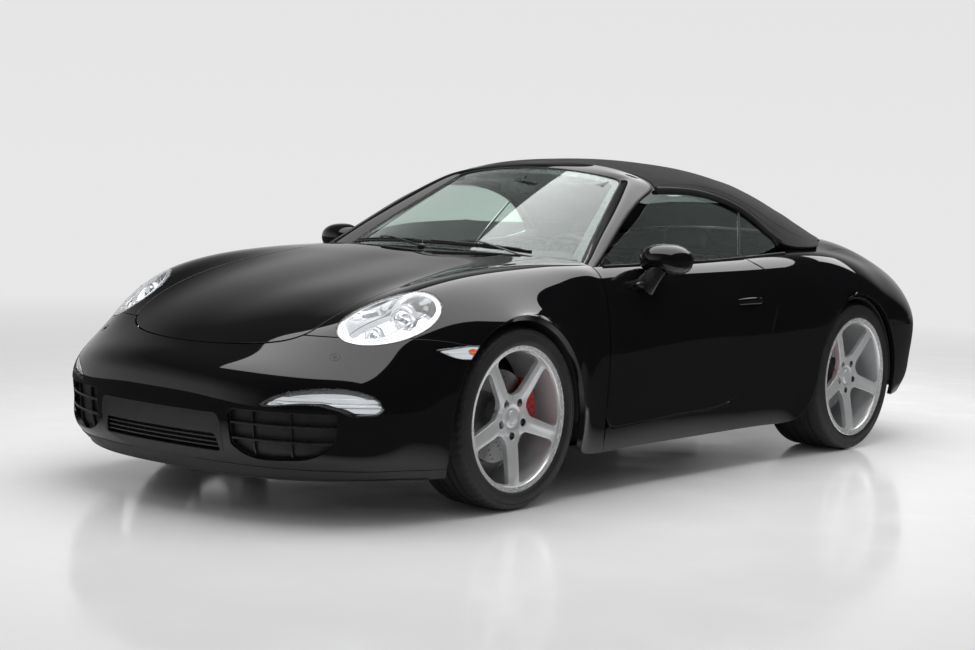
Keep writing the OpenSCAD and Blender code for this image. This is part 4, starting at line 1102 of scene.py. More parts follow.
def tyre_profile(r, w):
    h = w/2
    outer = [(rim_seat, h - 17), (rim_seat + 4, h - 12), (rim_seat + 8, h - 7),
             (rim_seat + 13, h - 3.5), (rim_seat + 15, h - 3.2), (rim_seat + 17, h - 0.6),
             (rim_seat + 22, h - 0.1), (rim_seat + 30, h), (rim_seat + 38, h - 1.4),
             (rim_seat + 45, h - 3.5), (rim_seat + 46, h - 2.8), (rim_seat + 48, h - 3),
             (rim_seat + 49, h - 4.8), (r - 13, h - 7), (r - 9, h - 11), (r - 5.5, h - 17),
             (r - 3.6, h - 23), (r - 2.2, h - 30)]
    grooves = []
    span = h - 34
    for c in (-0.62, -0.22, 0.22, 0.62)[::-1]:
        y = c*span
        grooves += [(r - 0.8*abs(c), y + 5.6), (r - 6.8, y + 4.4), (r - 6.8, y - 4.4),
                    (r - 0.8*abs(c), y - 5.6)]
    return outer + grooves + [(a, -z) for a, z in outer[::-1]]


rim_seat = 262.0


def make_tyre(r, w, hub):
    profile = tyre_profile(r, w)

    def tread(v, a):
        """Cross cuts: slanted shoulder grooves and fine sipes in the ribs."""
        ph = (a*64/(2*math.pi))[:, None]
        z = v[..., 2]
        s = (ph + 0.0024*np.abs(z)*np.sign(z)*8) % 1.0
        cut = (s < 0.16)
        rad = np.hypot(v[..., 0], v[..., 1])
        edge = np.abs(z) > (w/2 - 34)*0.75
        live = rad > r - 6.5
        side_live = (rad > r - 16)
        drop = np.where(cut & edge & side_live, 4.5, 0) + np.where(cut & ~edge & live, 2.2, 0)
        k = (1 - drop/rad)[..., None]
        v = v.copy()
        v[..., :2] *= k
        return v

    b = Build()
    revolve(b, profile[::-1], 256, 0, bend=tread)
    inner = [(rim_seat, -w/2 + 17), (rim_seat + 10, -w/2 + 8), (r - 20, 0),
             (rim_seat + 10, w/2 - 8), (rim_seat, w/2 - 17)]
    revolve(b, inner[::-1], 64, 0)
    turned(b, to_hub(hub))
    return b.object("tyre_x", [TYRE], sharp=48)


def make_disc(radius, z0, z1, hub):
    b = Build()
    holes = []
    for k in range(12):
        for i, rr in enumerate((96, 112, 128, 144, 157)):
            holes.append((rr*radius/170, 2*math.pi*(k + i*0.19)/12))
    def drilled(p):
        return np.max([3.6 - np.hypot(p[:, 0] - q*math.cos(a), p[:, 1] - q*math.sin(a))
                       for q, a in holes], 0)
    p, n = polar(np.linspace(79, radius, 24), 192, lambda x, y: 0*x + z0 + 34)
    shell(b, p, n, [out(drilled)], thick=34, r=0.7, wrap=True)
    revolve(b, [(79, z0 + 30), (79, z1 - 6), (77, z1 - 2), (73, z1), (28, z1), (28, z1 - 8)][::-1],
            96, 1)
    turned(b, to_hub(hub))
    return b.object("disc_x", [STEEL, DARK_METAL])


def wheel_set(end, hub, w, tyre_w, r, dish, disc_r, z1):
    made = {"rim": make_rim(hub, w, dish), "tyre": make_tyre(r, tyre_w, hub),
            "disc": make_disc(disc_r, -26, z1, hub)}
    slots = {"rim": "rim_silver", "tyre": "tyre", "disc": "disc_steel"}
    for kind, ob in made.items():
        ob.name = ob.data.name = f"{end}_left_{kind}_piece"
        twin = mirrored(ob, f"{end}_right_{kind}_piece")
        for s, o in (("left", ob), ("right", twin)):
            place(o, f"{end}_{s}_wheel", slots[kind], f"{end}_{s}_{kind}")


wheel_set("front", FRONT_HUB, w=222, tyre_w=244, r=FRONT_HUB[2], dish=51, disc_r=170, z1=50.7)
wheel_set("rear", REAR_HUB, w=286, tyre_w=294, r=REAR_HUB[2], dish=70, disc_r=165, z1=69.7)


# ---------------------------------------------------------------- lamps and nose
def add_mirror(b):
    """Adds the right-hand twin of everything in b."""
    for v in list(b.v):
        b.v.append(v*np.array([1, -1, 1]))
    total = b.k
    for i in range(len(b.f)):
        b.f.append([k + total for k in b.f[i]][::-1])
        n = b.n[i]
        b.n.append(None if n is None else [c*np.array([1, -1, 1]) for c in n][::-1])
        b.m.append(b.m[i])
    b.k = total*2


def axis_move(at, aim):
    """Moves local points with z along aim to a place."""
    z = unit(np.array(aim, float))
    x = unit(np.cross([0, 0, 1.0], z))
    y = np.cross(z, x)
    m = np.stack([x, y, z])
    return lambda v: np.asarray(v) @ m + np.array(at, float)


def between(axis, low, high):
    """Two fields that keep a strip, which may be narrower than the grid's cells."""
    return (lambda p: p[:, axis] - low, lambda p: high - p[:, axis])


fine_p, fine_n = surface(mirror_rows(BODY_ROWS), 24, 24)


def patch(a, b, c=0, d=9):
    """A fine grid of the left half: rows a to b, columns c to d."""
    k = (slice(a*24, b*24 + 1), slice((9 + c)*24, (9 + d)*24 + 1))
    return fine_p[k], fine_n[k]


def made(b, name, mats, slot, body="body", *nodes, **how):
    return place(b.object(name, mats, **how), body, slot, *nodes)


NOSE = rows(2, 14)
b = Build()
shell(b, *NOSE, [lamp(0)], thick=3.4, r=1.0)
made(b, "headlamp_lenses", [LENS], "lamp_lens", "body", "headlamps")
b = Build()
shell(b, *NOSE, [lamp(-0.6), out(lamp(-5))], top=-3.8, thick=8, r=0.8, mats=(2, 2))
shell(b, *NOSE, [lamp(-4.6), out(lamp(-17))], top=-4.6, thick=6, r=1.5, mats=(0, 0))
shell(b, *NOSE, [lamp(-16.4), out(lamp(-20.5))], top=-4.2, thick=8, r=1.2, mats=(1, 1))
shell(b, *NOSE, [lamp(-19), out(lamp(-21))], top=-8, thick=52, r=0.2, mats=(3, 3))
shell(b, *NOSE, [lamp(-18)], top=-58, thick=2, r=0.2, mats=(3, 3))
made(b, "headlamp_bezels", [BOWL, CHROME, SATIN, REFLECTOR], "lamp_bowl", "body", "lamp_housings")

b = Build()
for at, k in (((1702, 668, 694), 1.0), ((1806, 632, 634), 0.74)):
    c = Build()
    revolve(c, [(46*k, -42*k), (46*k, -4), (43.5*k, 0), (39*k, 1), (35*k, -2), (33*k, -7)][::-1],
            64, 0)
    revolve(c, [(33*k, -9), (30*k, 2*k), (22*k, 11*k), (12*k, 16*k), (0.01, 17.5*k)][::-1], 64, 1)
    revolve(c, [(56*k, -20*k), (49*k, -26*k), (46*k, -28*k)][::-1], 64, 2)
    turned(c, axis_move(at, (0.96, 0.22, 0.12)))
    for v in c.v:
        b.v.append(v)
    for f, n, m in zip(c.f, c.n, c.m):
        b.f.append([i + b.k for i in f])
        b.n.append(n)
        b.m.append(m)
    b.k += c.k
sweep(b, along([[1868, 560, 598], [1828, 612, 610], [1770, 672, 640], [1706, 726, 690],
                [1664, 744, 714]]), oval(15, 4, 12, 3), mat=2)
sweep(b, along([[1880, 575, 585], [1838, 640, 596], [1790, 700, 615], [1740, 740, 650]]),
      oval(9, 3, 12, 3), mat=0)
add_mirror(b)
made(b, "headlamp_projectors", [CHROME, LENS, REFLECTOR], "lamp_bowl")

b = Build()
shell(b, *rows(1, 8), [front(DAY_LAMP, 0, 1790)], thick=3.0, r=1.0)
made(b, "bumper_lamp_lenses", [LENS], "lamp_lens", "body", "bumper_lamps")
b = Build()
low = rows(1, 8)
shell(b, *low, [front(DAY_LAMP, -0.8, 1790), out(front(DAY_LAMP, -4, 1790))], top=-3.4,
      thick=26, r=0.6, mats=(1, 1))
shell(b, *low, [front(DAY_LAMP, -3, 1790)], top=-26, thick=2, r=0.2, mats=(0, 0))
shell(b, *low, [front(DAY_LAMP, -7, 1790), *between(2, 410, 420)], top=-7, thick=14, r=2,
      mats=(2, 2))
shell(b, *low, [front(DAY_LAMP, -9, 1790), *between(2, 424, 440)], top=-14, thick=10, r=2,
      mats=(0, 0))
made(b, "bumper_lamp_bowls", [REFLECTOR, SATIN, CHROME], "lamp_bowl")

MARKER = [[1703, 602], [1640, 609], [1545, 613], [1524, 611], [1536, 590], [1556, 572],
          [1600, 568], [1650, 577]]
b = Build()
part = patch(4, 9, 4, 9)
shell(b, *part, [side(MARKER, 0, 600)], top=1.4, thick=3, r=0.8, mats=(0, 0))
shell(b, *part, [side(MARKER, -5, 600), *between(2, 588, 593)], top=3.2, thick=2, r=0.5,
      mats=(2, 2))
shell(b, *part, [side([[1548, 586], [1566, 582], [1586, 588], [1584, 600], [1566, 604],
                       [1549, 599]], 0, 600)], top=3.6, thick=2, r=0.8, mats=(3, 3))
shell(b, *part, [side(MARKER, -2, 600)], top=6.0, thick=1.6, r=0.8, mats=(1, 1))
add_mirror(b)
made(b, "side_markers", [REFLECTOR, LENS, CHROME, ORANGE], "lamp_lens")


def ring_on_skin(b, at, n, radius, profile, mat=0, seg=40):
    a = np.arange(seg)*2*math.pi/seg
    z = unit(n)
    x = unit(np.cross([0, 0, 1.0], z))
    y = np.cross(z, x)
    path = at + radius*(np.cos(a)[:, None]*x + np.sin(a)[:, None]*y)
    sweep(b, path, profile, z, mat, closed=True)


b = Build()
d = np.linalg.norm(skin_p - np.array([1948, 602, 553.0]), axis=-1)
k = np.unravel_index(np.argmin(d), d.shape)
ring_on_skin(b, skin_p[k], skin_n[k], 17, oval(0.9, 0.7, 6))
ring_on_skin(b, skin_p[k], skin_n[k], 5, oval(1.6, 1.2, 8))
add_mirror(b)
made(b, "washer_covers", [SATIN], "black_plastic")

b = Build()
full_nose = rows(0, 8)
for z in (281, 335):
    shell(b, *full_nose, [front(INTAKE, -0.6, 1830), *between(2, z, z + 9)], top=-5, thick=24, r=3)
shell(b, *full_nose, [front(INTAKE, 8, 1830)], top=-27, thick=3, r=0.5, mats=(1, 1))
shell(b, *full_nose, [front(INTAKE, 1.5, 1830), out(front(INTAKE, -3, 1830))], top=-8, thick=18,
      r=1.2, mats=(0, 0))
shell(b, *full_nose, [front(LOW_INTAKE, 6, 1830)], top=-22, thick=3, r=0.5, mats=(1, 1))
for z in (246, 262, 278):
    shell(b, *full_nose, [front(LOW_INTAKE, -0.6, 1830), *between(2, z - 2.5, z + 2.5)], top=-5,
          thick=14, r=1.2)
PLATE = [[-306, 352], [-296, 366], [296, 366], [306, 352], [318, 290], [316, 232], [300, 226],
         [-300, 226], [-316, 232], [-318, 290]]
shell(b, *full_nose, [front(PLATE, 0, 1830), out(front(LOW_INTAKE, 2, 1830))], top=1.2, thick=3,
      r=1.2, mats=(2, 1))
for y in (-560, -430, 430, 560):
    shell(b, *full_nose, [front(INTAKE, -1, 1830), *between(1, y - 3.5, y + 3.5)], top=-16,
          thick=10, r=1.2)
made(b, "front_grilles", [SATIN, BLACK, BLACK], "black_plastic", "body", "bumper_grilles")
b = Build()
shell(b, *rows(0, 2), [lambda p: 190 - p[:, 2]], top=2.0, thick=6, r=1.6, mats=(0, 0))
edge = skin_p[0] + np.array([0, 0, -2])
sweep(b, edge[8:-8] - np.array([6, 0, 0]), oval(9, 5, 10, 3))
made(b, "front_lip", [BLACK], "black_plastic")

# ---------------------------------------------------------------- tail
TAIL = rows(26, 35)
b = Build()
shell(b, *TAIL, [front(TAIL_LAMP, 0, *TAIL_X)], thick=3.5, r=1.2)
made(b, "tail_lamp_lenses", [RED_LENS], "red_lens", "body", "tail_lamps")
b = Build()
shell(b, *TAIL, [front(TAIL_LAMP, -0.8, *TAIL_X)], top=-30, thick=2, r=0.2, mats=(0, 0))
shell(b, *TAIL, [front(TAIL_LAMP, -0.8, *TAIL_X), out(front(TAIL_LAMP, -3, *TAIL_X))],
      top=-4, thick=28, r=0.4, mats=(1, 1))
shell(b, *TAIL, [front(TAIL_LAMP, -7, *TAIL_X), *between(2, 690, 700)], top=-9, thick=12,
      r=2, mats=(2, 2))
made(b, "tail_lamp_bowls", [REFLECTOR, SATIN, RED_LENS], "lamp_bowl")
b = Build()
shell(b, *rows(30, 35), [lambda p: np.minimum(300 - p[:, 2], 620 - np.abs(p[:, 1])),
                         out(front(PIPES, 6, *TAIL_X))], top=1.6, thick=5, r=1.6)
for y in (-200, -100, 0, 100, 200):
    shell(b, *rows(31, 35), [*between(1, y - 5, y + 5),
                            lambda p: 285 - p[:, 2]],
          top=7, thick=7, r=2)
shell(b, *rows(29, 33), [front([[-265, 420], [-265, 545], [265, 545], [265, 420]], 0, -2400,
                               -1900)], top=1.2, thick=3, r=1.2)
made(b, "rear_diffuser", [BLACK], "black_plastic")
b = Build()
shell(b, *patch(30, 34, 3, 9), [front([[470, 392], [470, 412], [640, 412], [655, 392]], 0, -2400,
                               -1700)], top=1.6, thick=3, r=1.0)
add_mirror(b)
made(b, "rear_reflectors", [RED_LENS], "red_lens")

# Air grille and brake lamp on the engine lid.
LOUVRE = [[-1628, 0], [-1628, 330], [-1650, 352], [-1800, 360], [-1822, 340], [-1826, 0]]
b = Build()
lidp = rows(26, 31)
shell(b, *lidp, [plan(LOUVRE, 0)], top=0.8, thick=2.5, r=0.8)
for x in np.arange(-1642, -1816, -14.5):
    shell(b, *lidp, [plan(LOUVRE, -6), *between(0, x - 3.2, x + 3.2)], top=4.4,
          thick=5, r=1.6)
made(b, "lid_louvres", [SATIN], "black_plastic", "engine_lid")
b = Build()
HIGH_LAMP = [[-1592, 0], [-1592, 150], [-1600, 156], [-1608, 150], [-1608, 0]]
shell(b, fine_p[26*24:29*24, 12*7:12*29], fine_n[26*24:29*24, 12*7:12*29], [plan(HIGH_LAMP, 0)],
      top=1.6, thick=3, r=0.8)
made(b, "high_brake_lamp", [RED_LENS], "red_lens", "engine_lid")


# ---------------------------------------------------------------- mirrors, handles, wipers
def blob(b, at, size_front, size_back, turn=0.0, mat=0, nu=40, nv=28, power=2.3):
    """A rounded closed form: size_front and size_back are its half sizes ahead and behind."""
    u = np.linspace(0, 2*math.pi, nu + 1)[:-1]
    v = np.linspace(-math.pi/2, math.pi/2, nv)
    cu, su = np.cos(u), np.sin(u)
    cv, sv = np.cos(v), np.sin(v)

    def pw(a, e):
        return np.sign(a)*np.abs(a)**(2/e)
    x = np.outer(pw(cv, power), pw(cu, power))
    y = np.outer(pw(cv, power), pw(su, power))
    z = np.outer(pw(sv, power), np.ones(nu))
    f, k = np.array(size_front, float), np.array(size_back, float)
    p = np.stack([np.where(x > 0, x*f[0], x*k[0]), y*f[1], z*f[2]], -1)
    c, s = math.cos(turn), math.sin(turn)
    p = np.stack([p[..., 0]*c - p[..., 1]*s, p[..., 0]*s + p[..., 1]*c, p[..., 2]], -1)
    p = p + np.array(at, float)
    faces = [(i*nu + j, i*nu + (j+1) % nu, (i+1)*nu + (j+1) % nu, (i+1)*nu + j)
             for i in range(nv - 1) for j in range(nu)]
    b.add(p.reshape(-1, 3), faces, None, mat)


b = Build()
# The painted head, turned a little to the driver, over a satin bowl.
MIRROR_C, MIRROR_TURN = (388, 882, 897), 0.18
blob(b, MIRROR_C, (92, 108, 62), (36, 108, 62), MIRROR_TURN, 0)
blob(b, (386, 880, 887), (84, 109, 53), (33, 109, 53), MIRROR_TURN, 1)
sweep(b, along([[455, 900, 866], [462, 885, 848], [468, 868, 826], [470, 852, 806],
                [470, 838, 790]]), oval(30, 16, 20, 2.6), (1, 0, 0), 1,
      taper=np.linspace(0.9, 1.5, 25))
blob(b, (474, 836, 798), (52, 20, 14), (52, 20, 14), 0.05, 1)
ang = np.linspace(0, 2*math.pi, 49)[:-1]
ring = np.stack([np.full(48, 350.5), MIRROR_C[1] + 92*np.cos(ang),
                 MIRROR_C[2] + 50*np.sin(ang)], 1)
ring[:, 0] -= (ring[:, 1] - MIRROR_C[1])*MIRROR_TURN
b.add(np.concatenate([ring, [[350.0, *MIRROR_C[1:]]]]), [(48, (i+1) % 48, i) for i in range(48)],
      None, 2)
left_m = b.object("left_mirror_piece", [PAINT, SATIN, MIRROR_GLASS])
right_m = mirrored(left_m, "right_mirror_piece")
place(left_m, "left_door", "paint", "left_mirror")
place(right_m, "right_door", "paint", "right_mirror")

HANDLE = [[-293 + 95*math.cos(a), 708 + 42*math.sin(a)] for a in np.arange(0, 6.28, 0.2618)]
handle_in = side(HANDLE, 0, 700)
b = Build()
dp, dn = patch(17, 22, 4, 9)
depth = np.clip(handle_in(dp.reshape(-1, 3)).reshape(dp.shape[:2])/30, 0, 1)
depth = depth*depth*(3 - 2*depth)*30
bowl_p = dp - dn*depth[..., None]
shell(b, bowl_p, grid_normals(bowl_p), [side(HANDLE, -1.0, 700), lambda p: p[:, 1]], top=-1.0,
      thick=2, r=0.5, mats=(0, 0))
path = np.array([skin_side(x, 709 + 3*math.cos((x + 293)/60))[0]
                 for x in np.linspace(-395, -190, 25)])
t = np.linspace(-1, 1, 25)
path[:, 1] += 3 - 22*np.abs(t)**6 + 2
sweep(b, path, oval(15, 8.5, 16, 2.6), (0, 1, 0), 0, taper=1 - 0.35*np.abs(t)**4)
p0 = skin_side(-212, 690)
ring_on_skin(b, p0[0] - np.array([0, 17, 0]), p0[1], 5, oval(2.5, 2.5, 8), 1, 20)
left_h = b.object("left_door_handle", [PAINT, SATIN])
right_h = mirrored(left_h, "right_door_handle")
place(left_h, "left_door", "paint")
place(right_h, "right_door", "paint")

b = Build()
for y0, y1 in ((455, -60), (-70, -560)):
    v = np.linspace(y0, y1, 24)
    pts = screen(np.full(24, 0.045), np.clip(v/640, -0.97, 0.97))
    sweep(b, pts + np.array([6, 0, 12]), oval(3, 7, 8), mat=0)
    sweep(b, pts[2:-2] + np.array([8, 0, 20]), oval(6, 3, 8), mat=0)
    piv = np.array([812 - y0*y0/3300.0, y0 + 30, 905 - y0*y0/9000])
    arm = along([piv, piv + np.array([-4, -60, 12]), pts[9] + np.array([10, 0, 28]),
                 pts[12] + np.array([8, 0, 26])])
    sweep(b, arm, oval(8, 4, 10), taper=np.linspace(1.2, 0.7, len(arm)))
    blob(b, piv, (16, 16, 13), (16, 16, 13))
made(b, "wiper_arms", [SATIN], "black_plastic", "body", "wipers")
# ---------------------------------------------------------------- cabin
def rounded_box(size, r, cell):
    """A box about the origin with edges rounded by r: points (n, 3) and faces."""
    size = np.asarray(size, float)
    n = np.maximum(2, np.round(size/cell)).astype(int)
    index, points, faces = {}, [], []

    def at(key):
        if key not in index:
            index[key] = len(points)
            points.append((np.array(key)/n - 0.5)*size)
        return index[key]

    for axis in range(3):
        u, v = (axis + 1) % 3, (axis + 2) % 3
        for end in (0, n[axis]):
            for i in range(n[u]):
                for j in range(n[v]):
                    q = []
                    for a, c in ((i, j), (i+1, j), (i+1, j+1), (i, j+1)):
                        key = [0, 0, 0]
                        key[axis], key[u], key[v] = int(end), a, c
                        q.append(at(tuple(key)))
                    faces.append(q if end else q[::-1])
    p = np.array(points)
    core = np.clip(p, -(size/2 - r), size/2 - r)
    return core + unit(p - core)*r, faces


def frame_of(aim, up=(0, 0, 1)):
    """Axes with the third along aim and the second as near up as it can be."""
    z = unit(np.array(aim, float))
    x = unit(np.cross(up, z))
    return np.stack([x, np.cross(z, x), z])


def slab_at(b, at, aim, size, r, mat=0, cell=40.0, up=(0, 0, 1)):
    """Adds a rounded block: its width, height and depth lie across, up and along aim."""
    p, faces = rounded_box(size, r, cell)
    b.add(p @ frame_of(aim, up) + np.array(at, float), faces, None, mat)


def block(b, low, high, r, mat=0, cell=60.0):
    low, high = np.array(low, float), np.array(high, float)
    p, faces = rounded_box(high - low, r, cell)
    b.add(p + (low + high)/2, faces, None, mat)


def soft_slab(b, path, width, thick, r, y=0.0, mat=0, cell=20.0):
    """Adds a closed rounded slab bent along a side-view path of (x, z) points."""
    path = along(path, 8)
    run = np.concatenate([[0], np.cumsum(np.linalg.norm(np.diff(path, axis=0), axis=1))])
    p, faces = rounded_box((run[-1], width, thick), r, cell)
    slope = unit(np.gradient(path, axis=0))
    s = p[:, 0] + run[-1]/2
    x, z, tx, tz = (np.interp(s, run, q) for q in (path[:, 0], path[:, 1], slope[:, 0],
                                                  slope[:, 1]))
    b.add(np.stack([x - tz*p[:, 2], y + p[:, 1], z + tx*p[:, 2]], 1), faces, None, mat)


def add_all(b, c, move):
    """Adds everything in c to b, its points carried by move."""
    v = move(np.concatenate(c.v))
    b.v.append(v)
    b.f += [[i + b.k for i in f] for f in c.f]
    b.n += [None]*len(c.f)
    b.m += c.m
    b.k += len(v)


def puff(ob, cap, pressure=4.0):
    """Lets cloth pressure swell a closed piece, no point further than cap metres."""
    me = ob.data
    start = np.zeros(len(me.vertices)*3)
    me.vertices.foreach_get("co", start)
    mod = ob.modifiers.new("swell", "CLOTH")
    cloth = mod.settings
    cloth.quality = 6
    cloth.mass = 0.3
    cloth.tension_stiffness = cloth.compression_stiffness = 15
    cloth.shear_stiffness = 8
    cloth.bending_stiffness = 1.0
    cloth.use_pressure = True
    cloth.uniform_pressure_force = pressure
    cloth.effector_weights.gravity = 0
    scene = bpy.context.scene
    for k in range(1, 21):
        scene.frame_set(k)
    ready = ob.evaluated_get(bpy.context.evaluated_depsgraph_get()).data
    end = np.zeros(len(start))
    ready.vertices.foreach_get("co", end)
    ob.modifiers.remove(mod)
    scene.frame_set(1)
    d = (end - start).reshape(-1, 3)
    far = np.linalg.norm(d, axis=1, keepdims=True)
    d *= np.minimum(1, cap/np.maximum(far, 1e-9))
    me.vertices.foreach_set("co", (start.reshape(-1, 3) + d).ravel())
    me.update()
    sub = ob.modifiers.new("smooth", "SUBSURF")
    sub.levels = sub.render_levels = 1


def seam(b, path, y, lift, r=2.4, mat=1):
    """Adds piping along a side-view path, lifted off it and at a place across."""
    p = along(path, 8)
    t = unit(np.gradient(p, axis=0))
    line = np.stack([p[:, 0] - t[:, 1]*lift, np.full(len(p), y), p[:, 1] + t[:, 0]*lift], 1)
    sweep(b, line, oval(r, r, 6), (0, 1, 0), mat)


CUSHION = [(202, 268), (206, 322), (168, 353), (80, 350), (-60, 333), (-190, 320), (-258, 316)]
BACK = [(-304, 392), (-340, 500), (-383, 630), (-425, 760), (-464, 868)]
SEAT_Y = 370.0
b = Build()
soft_slab(b, CUSHION, 316, 66, 30, SEAT_Y)
soft_slab(b, BACK, 316, 74, 34, SEAT_Y)
soft_slab(b, [(-494, 905), (-506, 940), (-514, 970), (-520, 1002)], 226, 66, 32, SEAT_Y)
for s in (-1, 1):
    soft_slab(b, [(184, 322), (130, 362), (0, 356), (-130, 348), (-205, 352)], 64, 84, 31,
              SEAT_Y + s*200)
    soft_slab(b, [(-262, 412), (-290, 500), (-346, 640), (-408, 780), (-466, 870)], 64, 84, 31,
              SEAT_Y + s*200)
left_seat = b.object("left_front_seat_pads", [LEATHER], sharp=180)
puff(left_seat, 0.014)
right_seat = mirrored(left_seat, "right_front_seat_pads")
right_seat.modifiers.new("smooth", "SUBSURF").levels = 1
right_seat.modifiers["smooth"].render_levels = 1
for ob in (left_seat, right_seat):
    place(ob, "body", "seat_leather", "front_seats")

b = Build()
for s in (-1, 1):
    soft_slab(b, [(-344, 280), (-398, 470), (-456, 680), (-508, 880)], 440, 34, 16, SEAT_Y, 0, 40)
    slab_at(b, (-60, SEAT_Y, 276), (0, 0, 1), (400, 440, 26), 10)
    for k in (-1, 1):
        block(b, (-335, SEAT_Y + k*170 - 17, 191), (155, SEAT_Y + k*170 + 17, 264), 5, 1)
    seam(b, CUSHION, SEAT_Y + s*160, 32, 3.0, 2)
    seam(b, BACK, SEAT_Y + s*160, 38, 3.0, 2)
add_mirror(b)
made(b, "seat_shells", [SATIN, DARK_METAL, THREAD], "black_plastic", "body", "front_seats")

b = Build()
soft_slab(b, [(-656, 462), (-720, 460), (-780, 454), (-838, 446)], 340, 38, 18, 300)
soft_slab(b, [(-884, 492), (-912, 600), (-942, 720), (-968, 840)], 340, 30, 14, 300)
left_rear = b.object("left_rear_seat_pads", [LEATHER], sharp=180)
puff(left_rear, 0.010)
right_rear = mirrored(left_rear, "right_rear_seat_pads")
right_rear.modifiers.new("smooth", "SUBSURF").levels = 1
right_rear.modifiers["smooth"].render_levels = 1
for ob in (left_rear, right_rear):
    place(ob, "body", "seat_leather", "rear_seats")

# Dashboard: one skin with a hood over the dials on the driver's side.
DASH_SIDE = [[600, 590], [690, 690], [690, 840], [640, 848], [560, 858], [500, 868], [440, 852],
             [414, 792], [432, 740], [450, 690], [520, 600]]
profile = rounded(DASH_SIDE, 4, 50)
b = Build()
run = np.linspace(-636, 636, 73)
sections = []
for y in run:
    hump = math.exp(-((y - 370)/165)**4)
    lift = 38*hump*np.exp(-((profile[:, 0] - 470)/85)**2)*(profile[:, 1] > 835)
    ends = 10*np.clip((abs(y) - 600)/36, 0, 1)**2
    x = profile[:, 0] + ends*np.sign(560 - profile[:, 0])
    sections.append(np.stack([x, np.full(len(x), y), profile[:, 1] + lift], 1))
v = np.array(sections)
k = len(profile)
b.add(v.reshape(-1, 3), [(i*k + j, i*k + (j+1) % k, (i+1)*k + (j+1) % k, (i+1)*k + j)
                         for i in range(len(run) - 1) for j in range(k)]
      + [tuple(range(k))[::-1], tuple((len(run) - 1)*k + j for j in range(k))], None, 0)
soft_slab(b, [(276, 402), (316, 478), (366, 572), (438, 706)], 218, 54, 12, 0, 1, 30)
block(b, (-258, -94, 372), (300, 94, 436), 16, 1, 30)
block(b, (-250, -80, 425), (-60, 80, 442), 8, 0, 30)
face = np.array([-0.883, 0, 0.469])
for up_by, w, h, m in ((110, 168, 92, 2), (38, 150, 30, 2), (-10, 150, 26, 2), (-52, 150, 22, 2)):
    at = np.array([357, 0, 554.0]) + up_by*np.array([0.469, 0, 0.883]) + face*27
    slab_at(b, at, face, (w, h, 5), 2, m, 60)
    if h < 40:
        for j in range(6):
            slab_at(b, at + np.array([0, (j - 2.5)*24, 0]) + face*3, face, (19, h - 12, 4), 1.5,
                    3, 20)
for y, w in ((-560, 110), (-75, 120), (75, 120), (560, 110)):
    at, aim = np.array([424, y, 812]), (-0.96, 0, 0.28)
    slab_at(b, at, aim, (w, 62, 14), 6, 3, 40)
    for j in range(5):
        slab_at(b, at + np.array([-6, 0, (j - 2)*10.5]), aim, (w - 14, 3, 8), 1.2, 2, 40)
made(b, "dashboard_trim", [DASH, SATIN, SMOKE, BLACK], "dash", "body", "dashboard", flip=True)

b = Build()
for dy, r in ((0, 46), (84, 38), (-84, 38), (150, 30), (-150, 30)):
    c = Build()
    revolve(c, [(0, 1), (r - 4, 1)][::-1], 48, 0)
    revolve(c, [(r - 4, 1), (r - 4, 6), (r - 1, 8), (r + 2, 6), (r + 3, -8)][::-1], 48, 1)
    revolve(c, [(0, 9), (4, 8), (5, 1)][::-1], 20, 1)
    for k in range(21):
        a = math.radians(-45 + 13.5*k)
        w, inner = (1.0, r - 13) if k % 2 == 0 else (0.5, r - 9)
        d, e = np.array([math.cos(a), math.sin(a)]), np.array([-math.sin(a), math.cos(a)])*w
        q = [d*inner - e, d*(r - 6) - e, d*(r - 6) + e, d*inner + e]
        c.add([[*p, 1.5] for p in q], [(0, 1, 2, 3)], None, 2)
    a = math.radians(200 - dy)
    d, e = np.array([math.cos(a), math.sin(a)]), np.array([-math.sin(a), math.cos(a)])
    q = [-d*8 - e*2, d*(r - 12) - e*0.5, d*(r - 12) + e*0.5, -d*8 + e*2]
    c.add([[*p, 4] for p in q], [(0, 1, 2, 3)], None, 3)
    rows_up = frame_of((-0.94, 0, 0.34))
    add_all(b, c, lambda v: v @ rows_up + np.array([408 + abs(dy)*0.03, 370 - dy, 848]))
made(b, "instrument_dials", [BLACK, CHROME, THREAD, RED], "black_plastic")

# Steering wheel, made about its own axis and then set at its rake.
rake = math.radians(68)
wheel_axes = np.array([[math.cos(rake), 0, math.sin(rake)], [0, 1, 0],
                       [-math.sin(rake), 0, math.cos(rake)]])


def on_column(v):
    return np.asarray(v) @ wheel_axes + np.array([300, 370, 800])


c = Build()
a = np.linspace(0, 2*math.pi, 97)[:-1]
grip = 1 - 0.06 + 0.1*(np.exp(-((np.abs(np.degrees(a) - 180) - 108)/13)**2))
sweep(c, np.stack([172*np.cos(a), 172*np.sin(a), 0*a], 1), oval(13.5, 15.5, 14), (0, 0, 1), 0,
      True, grip)
revolve(c, [(0, 30), (24, 29.5), (44, 26), (56, 16), (61, 0), (58, -16), (40, -20)][::-1], 48, 0)
for deg in (90, 180, 270):
    d = np.array([math.cos(math.radians(deg)), math.sin(math.radians(deg)), 0])
    path = [d*r + np.array([0, 0, z]) for r, z in ((50, 10), (85, 7), (125, 3), (166, 0))]
    sweep(c, along(path, 5), oval(17, 5, 14, 2.6), (0, 0, 1), 0, False,
          np.linspace(1.15, 0.8, 16))
    trim = [d*r + np.array([0, 0, z]) for r, z in ((66, 15), (90, 12), (120, 8.5), (150, 6))]
    sweep(c, along(trim, 5), oval(8, 2, 12, 2.6), (0, 0, 1), 1)
revolve(c, [(30, -18), (29, -60), (29, -111)], 32, 2)
b = Build()
add_all(b, c, on_column)
made(b, "steering_wheel_trim", [LEATHER, ALLOY, SATIN], "dash", "steering_wheel",
     "steering_wheel")
c = Build()
